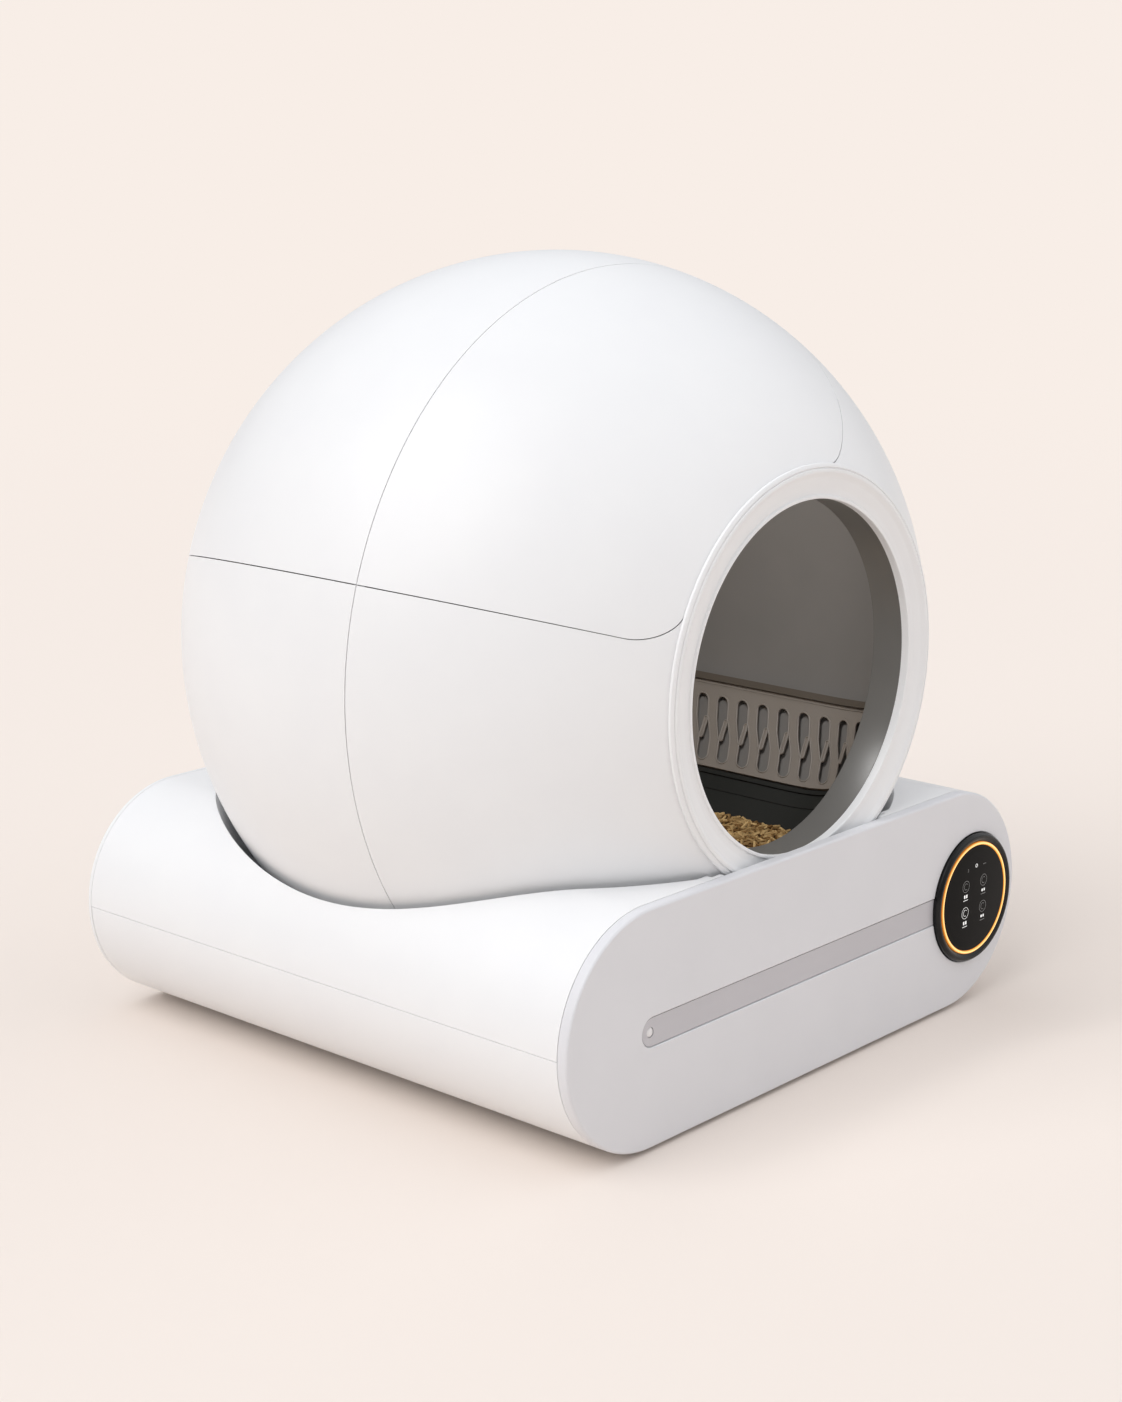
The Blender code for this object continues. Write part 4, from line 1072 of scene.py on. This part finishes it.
def display():
    """Round black housing, its window, the amber ring between them and generic touch marks."""
    face, back = BEZEL_LOW.y, BEZEL_HIGH.y
    seat, floor = LIGHT_OUTER + 0.0004, face + 0.0028
    housing = [
        (0.0, back, 0), (BEZEL_RADIUS, back, 0.0002), (BEZEL_RADIUS, face + 0.0022, 0.0016),
        (BEZEL_RADIUS - 0.0018, face, 0.0014), (BEZEL_RADIUS - 0.0036, face + 0.0001, 0.0010),
        (seat + 0.0008, face + 0.0010, 0.0008), (seat, face + 0.0014, 0.0003), (seat, floor, 0),
        (0.0, floor, 0),
    ]
    turned("display_housing", housing, "display_black", "display_bezel", centre=DISC)
    front, rim = face + 0.0004, LIGHT_INNER - GAP
    glass = front + 0.0006
    window = [(0.0, face + 0.0025, 0), (rim, face + 0.0025, 0), (rim, glass, 0.0004), (0.0, glass, 0)]
    turned("display_window", window, "display_glass", "display_glass", centre=DISC)
    shoulder, root = front + 0.0005, front + 0.0018
    guide = [
        (LIGHT_INNER, root, 0), (LIGHT_INNER, shoulder, 0.0006),
        ((LIGHT_INNER + LIGHT_OUTER) / 2, front, 0.0010),
        (LIGHT_OUTER, shoulder, 0.0006), (LIGHT_OUTER, root, 0),
    ]
    turned("amber_ring", guide, "amber_light", "light_ring", centre=DISC)
    touch_marks(glass)


def touch_marks(face):
    """Two by two touch targets over short marks, and three small indicators above them."""
    marks = {"bright": [], "dim": []}
    back, front = face - 0.00006, face + 0.0002

    def ring(ink, x, z, radius, width, clock=(0, 360)):
        small, large = radius - width / 2, radius + width / 2
        section = [(small, back), (large, back), (large, front), (small, front)]
        marks[ink].append(spun("mark", section, clock, 40, (DISC[0] + x, DISC[1] + z)))

    def bar(ink, x, z, wide, tall):
        low = (DISC[0] + x - wide / 2, back, DISC[1] + z - tall / 2)
        high = (DISC[0] + x + wide / 2, front, DISC[1] + z + tall / 2)
        marks[ink].append(block("mark", low, high))

    column, rows, stroke = 0.0120, (0.0115, -0.0093), 0.00028
    for x in (-column, column):
        for z in rows:
            lit = "bright" if x < 0 and z < 0 else "dim"
            ring(lit, x, z, 0.0044, stroke)
            ring(lit, x, z, 0.0024, stroke, (40, 300))
            for side in (-0.0014, 0.0014):
                bar("bright", x + side, z - 0.0078, 0.0016, 0.0026 if x < 0 else 0.0020)
            bar("bright" if x < 0 else "dim", x, z - 0.0108, 0.0062, 0.0004)
    ring("dim", -0.0107, 0.0236, 0.0014, 0.0003, (-60, 60))
    ring("bright", 0.0014, 0.0252, 0.0012, 0.0005)
    for step in range(3):
        bar("dim", 0.0112 + 0.0014 * step, 0.0244, 0.0008, 0.0005)
    for ink, made in marks.items():
        piece = joined(f"touch_marks_{ink}", made)
        piece.data.materials.clear()
        piece.data.materials.append(INKS[ink])
        placed(piece, "lamp", body="drawer")


# ---------------------------------------------------------------- drum


def drum_shells():
    inner = DRUM_WALL
    line = drum_line(DRUM_SPLIT, DRUM_MOUTH, 0)
    section = line + drum_line(DRUM_MOUTH, DRUM_SPLIT, inner)
    barrel = spun("barrel", section, steps=256)
    port = [at_clock(100 + 50 * step / 24, 0.18) for step in range(25)]
    port += [at_clock(150 - 50 * step / 24, 0.22) for step in range(25)]
    carved(barrel, prism("port", port, -0.080, 0.070))
    fitted(smooth(barrel, 30), "drum_taupe", "drum_barrel")

    back = BACK_FLAT + BACK_DEPTH
    outer = drum_line(DRUM_SPLIT + GAP, back, 0)
    inside = drum_line(back - DRUM_WALL, DRUM_SPLIT + GAP, inner)
    cap = spun("back_cap", outer + inside, steps=256)
    fitted(cap, "drum_taupe", "drum_back_cap")


def liner():
    """The dark liner, with a rim and a fine step along each upper edge."""
    outer = DRUM_WALL + GAP
    low, high = LINER_CLOCK
    base = drum_line(0.175, -0.175, outer)
    pieces = [spun("skin", base + drum_line(-0.175, 0.175, outer + 0.002), LINER_CLOCK, 120)]
    bands = ((high - 1.0, high, 0.0034), (low, low + 1.0, 0.0034), (high - 4.6, high - 4.0, 0.0027))
    for start, stop, thick in bands:
        band = drum_line(0.170, -0.170, outer + 0.0015) + drum_line(-0.170, 0.170, outer + thick)
        pieces.append(spun("rim", band, (start, stop), 4))
    fitted(joined("drum_lining", pieces), "liner_dark", "drum_liner")


def drop_outline(row, wide=0.0056, tail=0.0022, length=0.036, steps=24):
    """A drop with its round end towards row's side: (along y, along the arc) points.

    It stays wide for half its length and narrows in an S, beside the next row's drops.
    """
    sides = []
    for step in range(steps + 1):
        share = 0.5 - 0.5 * math.cos(math.pi * step / steps)
        ease = min(1.0, max(0.0, (share - 0.48) / 0.52))
        reach = share * length
        half = wide + (tail - wide) * ease**2 * (3 - 2 * ease)
        if reach < wide:
            half = math.sqrt(wide**2 - (wide - reach) ** 2)
        if length - reach < tail:
            half = min(half, math.sqrt(max(0.0, tail**2 - (tail - length + reach) ** 2)))
        sides.append((half, row * (length / 2 - reach)))
    outline = sides + [(-half, along) for half, along in sides[-2:0:-1]]
    return [(across + SLOT_LEAN * along, along) for across, along in outline]


def bent(obj, clock):
    """Bends a flat piece, laid out as (y, along the arc, inwards), to stand off the drum's wall."""
    for vertex in obj.data.vertices:
        y, along, inwards = vertex.co
        turn = math.degrees(along / (DRUM_RADIUS - SIEVE_INSET))
        x, z = at_clock(clock + turn, drum_radius(y, SIEVE_INSET) - inwards)
        vertex.co = (x, y, z)
    bm = opened(obj)
    bmesh.ops.recalc_face_normals(bm, faces=bm.faces)
    return written(obj, bm)


def slotted_sheet(half, front, back, slots):
    """A flat sheet with a hole for each outline of slots, cut across often enough to bend well."""
    sheet = bpy.data.curves.new("sheet", "CURVE")
    sheet.dimensions = "2D"
    sheet.fill_mode = "BOTH"
    sheet.extrude = 0.0010
    for outline in [[(front, -half), (back, -half), (back, half), (front, half)], *slots]:
        spline = sheet.splines.new("POLY")
        spline.points.add(len(outline) - 1)
        spline.use_cyclic_u = True
        for point, (across, up) in zip(spline.points, outline):
            point.co = (across, up, 0, 1)
    obj = linked("sheet", sheet)
    bpy.context.view_layer.update()
    graph = bpy.context.evaluated_depsgraph_get()
    bm = bmesh.new()
    bm.from_mesh(bpy.data.meshes.new_from_object(obj.evaluated_get(graph)))
    bpy.data.objects.remove(obj)
    bmesh.ops.remove_doubles(bm, verts=bm.verts, dist=0.000001)
    cuts = [((0, -half + half * step / 12, 0), (0, 1, 0)) for step in range(1, 24)]
    cuts += [((front + 0.004 * step, 0, 0), (1, 0, 0)) for step in range(1, 20)]
    for place, normal in cuts:
        everything = bm.verts[:] + bm.edges[:] + bm.faces[:]
        bmesh.ops.bisect_plane(bm, geom=everything, plane_co=place, plane_no=normal)
    return mesh_object("slotted_sheet", bm)


def sieve():
    """A plate with two interleaved rows of drop-shaped slots, each with a raised rim."""
    middle = sum(SIEVE_CLOCK) / 2
    half = math.radians(SIEVE_CLOCK[1] - SIEVE_CLOCK[0]) * (DRUM_RADIUS - SIEVE_INSET) / 2
    front, back = -0.172, 0.148
    row_shift, row_middle = 0.0092, -0.0030
    count = 15
    starts = {1: front + 0.012, -1: front + 0.012 + SLOT_PITCH / 2}
    slots = []
    for row, first in starts.items():
        for number in range(count):
            y = first + SLOT_PITCH * number
            slots.append([(y + a, row_middle + row * row_shift + b) for a, b in drop_outline(row)])
    pieces = [smooth(bent(slotted_sheet(half, front, back, slots), middle))]

    for row, first in starts.items():
        rim = bmesh.new()
        ring = [rim.verts.new((a, b, 0.0)) for a, b in drop_outline(row)]
        for here, there in zip(ring, ring[1:] + ring[:1]):
            rim.edges.new((here, there))
        bmesh.ops.remove_doubles(rim, verts=rim.verts, dist=0.00001)
        line = mesh_object("rim_line", rim)
        finish = MATERIALS["sieve_taupe"]
        rims = grown("rims", SLOT_RIMS, {"Outline": line, "Count": count, "Bead": 0.0007, "Material": finish})
        bpy.data.objects.remove(line)
        for vertex in rims.data.vertices:
            vertex.co += Vector((first, row_middle + row * row_shift, 0.0010))
        pieces.append(smooth(bent(rims, middle)))

    wall = drum_line(back, front, DRUM_WALL + GAP, 24)
    lip = drum_line(front, back, SIEVE_INSET + 0.0015, 24)
    for start in (SIEVE_CLOCK[0] - 0.3, SIEVE_CLOCK[1] - 0.5):
        pieces.append(spun("edge", wall + lip, (start, start + 0.8), 3))
    fitted(joined("sieve", pieces), "sieve_taupe", "sieve_plate")

    step = drum_line(front, back, SIEVE_INSET + 0.0042, 24)
    ledge = spun("sieve_ledge", wall + step, (SIEVE_CLOCK[1] + 0.35, SIEVE_CLOCK[1] + 1.9), 4)
    # The ledge's dark brown is painted shadow for the gap over the sieve.
    ledge.data.materials.append(SIEVE_LEDGE_PAINTED_SHADOW)
    placed(ledge, "drum_taupe", body="drum")


def litter():
    """The bed's uneven top and hollow underside, with pellets strewn over it."""
    inset = DRUM_WALL + 2 * GAP + 0.002
    rows, columns = 70, 50
    end = 0.172
    drop = AXIS_Z - LITTER_TOP
    bm = bmesh.new()
    layers = [[], []]
    for row in range(rows + 1):
        y = -end + 2 * end * row / rows
        radius = max(drum_radius(y, inset), drop + 0.0005)
        half = math.sqrt(radius**2 - drop**2)
        for layer in layers:
            layer.append([])
        for column in range(columns + 1):
            share = -math.cos(math.pi * column / columns)
            x = half * share
            calm = (1 - share**2) * min(1.0, (end - abs(y)) / 0.03)
            mound = 0.0022 * math.sin(31 * x + 1.3) * math.cos(27 * y) + 0.0014 * math.sin(70 * y + 45 * x)
            layers[0][row].append(bm.verts.new((x, y, LITTER_TOP - 0.0015 + mound * calm)))
            under = AXIS_Z - math.sqrt(radius**2 - x**2) - 0.0015 * (share**2 == 1)
            layers[1][row].append(bm.verts.new((x, y, under)))
    for layer in layers:
        for row in range(rows):
            near, far = layer[row], layer[row + 1]
            for column in range(columns):
                bm.faces.new((near[column], near[column + 1], far[column + 1], far[column]))
    rim = [[(0, c) for c in range(columns + 1)], [(rows, c) for c in range(columns + 1)]]
    rim += [[(r, 0) for r in range(rows + 1)], [(r, columns) for r in range(rows + 1)]]
    for line in rim:
        for (r0, c0), (r1, c1) in zip(line, line[1:]):
            corners = (layers[0][r0][c0], layers[0][r1][c1], layers[1][r1][c1], layers[1][r0][c0])
            if len({tuple(round(c, 6) for c in v.co) for v in corners}) > 2:
                bm.faces.new(corners)
    bed = smooth(closed_mesh("litter_layer", bm))

    top = opened(bed)
    away = [
        face
        for face in top.faces
        if abs(face.normal.z) < 0.9 or face.calc_center_median().z < LITTER_TOP - 0.008
    ]
    bmesh.ops.delete(top, geom=away, context="FACES")
    surface = mesh_object("pellets", top)
    pellet_length, pellet_radius = 0.0085, 0.00125
    section = [(0.0, -0.5), (0.75, -0.5), (1.0, -0.42), (1.0, 0.42), (0.75, 0.5), (0.0, 0.5)]
    section = [(length * pellet_length, radius * pellet_radius) for radius, length in section]
    turns = [2 * math.pi * step / 5 for step in range(5)]
    rings = [[(x, radius * math.cos(t), radius * math.sin(t)) for x, radius in section] for t in turns]
    pellet = lofted("pellet", rings, whole=True, looped=False)
    pellet.data.shade_smooth()
    strewn = grown("pellets", PELLETS, {"Pellet": pellet, "Material": MATERIALS["litter"]}, surface)
    bpy.data.objects.remove(pellet)
    # The bed's dark brown is painted shade between the pellets.
    bed.data.materials.append(BED_PAINTED_GAP_SHADE)
    placed(bed, "litter", "litter_bed")
    for vertex in strewn.data.vertices:
        vertex.co.z += 0.0009
    fitted(smooth(strewn, 60), "litter", body="drum")


# ---------------------------------------------------------------- works inside the base


def drawer_bin():
    tub = block("waste_bin", *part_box("drawer_bin"))
    bm = opened(tub)
    uprights = [e for e in bm.edges if abs(e.verts[0].co.z - e.verts[1].co.z) > 0.01 and e.verts[0].co.y > 0]
    bmesh.ops.bevel(bm, geom=uprights, offset=0.014, segments=8, profile=0.5, affect="EDGES")
    top = [f for f in bm.faces if f.normal.z > 0.9]
    bmesh.ops.delete(bm, geom=top, context="FACES")
    written(tub, bm)
    walled(tub, 0.0025)
    softened(tub, 0.0007, 3, 40)
    fitted(tub, "inner_grey", "drawer_bin")


def rollers():
    bore, edge, groove = 0.0033, 0.004, 0.0008
    for node in (f"roller_{end}_{side}" for end in ("front", "rear") for side in ("left", "right")):
        low, high, middle, radius = round_node(node)
        half = [
            (bore, 0.0, 0.0003), (radius - edge, 0.0, 0.0004), (radius - 0.0035, groove, 0.0003),
            (radius - 0.0025, groove, 0.0003), (radius, 0.0014, 0.0014),
        ]
        corners = [(r, low.y + y, rounding) for r, y, rounding in half]
        corners += [(r, high.y - y, rounding) for r, y, rounding in half[::-1]]
        turned(node + "_tyre", corners, "rubber_grey", node, 64, middle)


def gear_motor():
    low, high, middle, wide = round_node("gear_motor")
    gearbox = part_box("motor_bracket")[0].y + 0.0033
    tail, neck, narrow = high.y - 0.002, 0.0138, wide - 0.0006
    corners = [
        (0.0, high.y, 0), (0.004, high.y, 0.0004), (0.0042, tail, 0.0003), (neck, tail, 0.0012),
        (neck, gearbox + 0.028, 0.0003), (wide, gearbox + 0.026, 0.0012), (wide, gearbox + 0.004, 0.0004),
        (narrow, gearbox + 0.0035, 0.0003), (narrow, gearbox + 0.003, 0.0003),
        (wide, gearbox + 0.0025, 0.0004), (wide, gearbox, 0.0008), (0.003, gearbox, 0.0003),
        (0.003, low.y, 0.0004), (0.0, low.y, 0),
    ]
    turned("geared_motor", corners, "motor_steel", "gear_motor", 72, middle)


def control_board():
    low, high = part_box("control_board")
    board = block("printed_board", low, high, 0.0003, 2)
    fitted(board, "circuit_board", "control_board")
    parts = []
    for x, z, wide, tall, thick in (
        (0.018, 0.030, 0.012, 0.012, 0.0018),
        (0.042, 0.036, 0.008, 0.005, 0.0016),
        (0.042, 0.022, 0.008, 0.005, 0.0016),
        (0.062, 0.014, 0.014, 0.006, 0.0060),
        (0.062, 0.042, 0.014, 0.006, 0.0060),
        (0.028, 0.012, 0.006, 0.006, 0.0050),
    ):
        corner = (low.x + x - wide / 2, low.y - thick, low.z + z - tall / 2)
        parts.append(block("part", corner, (corner[0] + wide, low.y - 0.00005, corner[2] + tall), 0.0003, 2))
    fitted(joined("board_components", parts), "black_plastic", body="base")


def power_inlet():
    low, high, middle, wide = round_node("power_inlet")
    bore, floor, pin, tip = 0.0032, low.y + 0.002, 0.001, high.y - 0.001
    corners = [
        (0.0, low.y, 0), (wide, low.y, 0.0003), (wide, high.y, 0.0005), (bore, high.y, 0.0005),
        (bore, floor, 0.0002), (pin, floor, 0.0002), (pin, tip, 0.0006), (0.0, tip, 0),
    ]
    turned("power_socket", corners, "black_plastic", "power_inlet", 48, middle)


# ---------------------------------------------------------------- stage, light and camera


def set_stage():
    """A seamless cream floor, and a lit cream wall far behind it for the strip above the horizon."""
    floor_paint, tree, shader = principled("matt_cream_paper", Roughness=0.95, Specular_IOR_Level=0.0)
    place = add(tree, "ShaderNodeTexCoord").outputs["Object"]
    away = add(tree, "ShaderNodeVectorMath", {0: place}, operation="LENGTH").outputs["Value"]
    share = add(tree, "ShaderNodeMapRange", {0: away, 1: 0.9, 2: 4.0}, interpolation_type="SMOOTHSTEP")
    tone = add(tree, "ShaderNodeMix", {0: share, 6: FLOOR_COLOUR, 7: (0, 0, 0, 1)}, data_type="RGBA")
    tree.links.new(tone.outputs[2], shader.inputs["Base Color"])
    tree.links.new(share.outputs[0], shader.inputs["Emission Strength"])
    shader.inputs["Emission Color"].default_value = colour(CREAM)
    bm = bmesh.new()
    bmesh.ops.create_grid(bm, x_segments=2, y_segments=2, size=60.0)
    floor = mesh_object("floor", bm)
    floor.data.materials.append(floor_paint)
    plain = {"Roughness": 1.0, "Specular_IOR_Level": 0.0, "Emission_Strength": 1.0}
    backdrop_paint, tree, shader = principled("cream_backdrop", **plain)
    shader.inputs["Base Color"].default_value = (0, 0, 0, 1)
    shader.inputs["Emission Color"].default_value = colour(CREAM)
    bm = bmesh.new()
    bmesh.ops.create_cone(bm, cap_ends=False, segments=96, radius1=58.0, radius2=58.0, depth=30.0)
    backdrop = mesh_object("backdrop", bm)
    backdrop.data.materials.append(backdrop_paint)
    backdrop.visible_diffuse = False
    backdrop.visible_glossy = False
    backdrop.visible_shadow = False


def aim(obj, target):
    obj.rotation_euler = (Vector(target) - obj.location).to_track_quat("-Z", "Y").to_euler()


def set_lights():
    world = bpy.data.worlds.new("soft_white")
    world.use_nodes = True
    tree = world.node_tree
    up = add(tree, "ShaderNodeSeparateXYZ", {0: add(tree, "ShaderNodeTexCoord").outputs["Generated"]})
    ramp = add(tree, "ShaderNodeValToRGB", {0: up.outputs[2]})
    ramp.color_ramp.elements[0].color = (0.27, 0.275, 0.285, 1.0)
    ramp.color_ramp.elements[1].color = (0.84, 0.855, 0.885, 1.0)
    tree.links.new(ramp.outputs[0], tree.nodes["Background"].inputs["Color"])
    bpy.context.scene.world = world

    for name, energy, spread, place in (
        ("key", 1.50, 55, (-3.2, 0.7, 3.5)),
        ("fill", 0.68, 90, (3.2, -3.4, 1.75)),
    ):
        sun = bpy.data.lights.new(name, "SUN")
        sun.energy = energy
        sun.angle = math.radians(spread)
        sun.color = (0.985, 0.99, 1.0)
        obj = linked(name, sun)
        obj.location = place
        aim(obj, (0, 0, 0))

    lamp = bpy.data.lights.new("inside", "AREA")
    lamp.energy = 0.45
    lamp.shape = "RECTANGLE"
    lamp.size, lamp.size_y = 0.12, 0.05
    inside = linked("inside", lamp)
    inside.location = (-0.02, -0.11, AXIS_Z + 0.155)
    aim(inside, (0.10, 0.05, AXIS_Z - 0.10))


def set_camera():
    camera = bpy.data.cameras.new("camera")
    camera.lens = 65.59
    camera.sensor_width = 36.0
    camera.clip_end = 200.0
    obj = linked("camera", camera)
    obj.location = (-1.3809, -1.2339, 0.6901)
    obj.rotation_euler = (math.radians(90 - 13.82), 0.0, math.radians(-48.29))
    bpy.context.scene.camera = obj
    bpy.context.scene.view_settings.view_transform = "Standard"


def paint_kept_nodes():
    """Gives the CAD nodes that stay in view their finishes."""
    for node, obj in frame["nodes"].items():
        if not obj.hide_render:
            obj.data.materials.clear()
            obj.data.materials.append(MATERIALS[SLOT_OF[node]])


def clear_start_scene():
    for obj in list(bpy.data.objects):
        if "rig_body" not in obj and not obj.name.startswith("body:"):
            bpy.data.objects.remove(obj)


clear_start_scene()
hood_shells()
seam_beads()
entry_ring()
back_plate()
upper_cover()
lower_shell()
lap_strip()
back_panel()
feet()
front_panel()
display()
drum_shells()
liner()
sieve()
litter()
drawer_bin()
rollers()
gear_motor()
control_board()
power_inlet()
paint_kept_nodes()
set_stage()
set_lights()
set_camera()
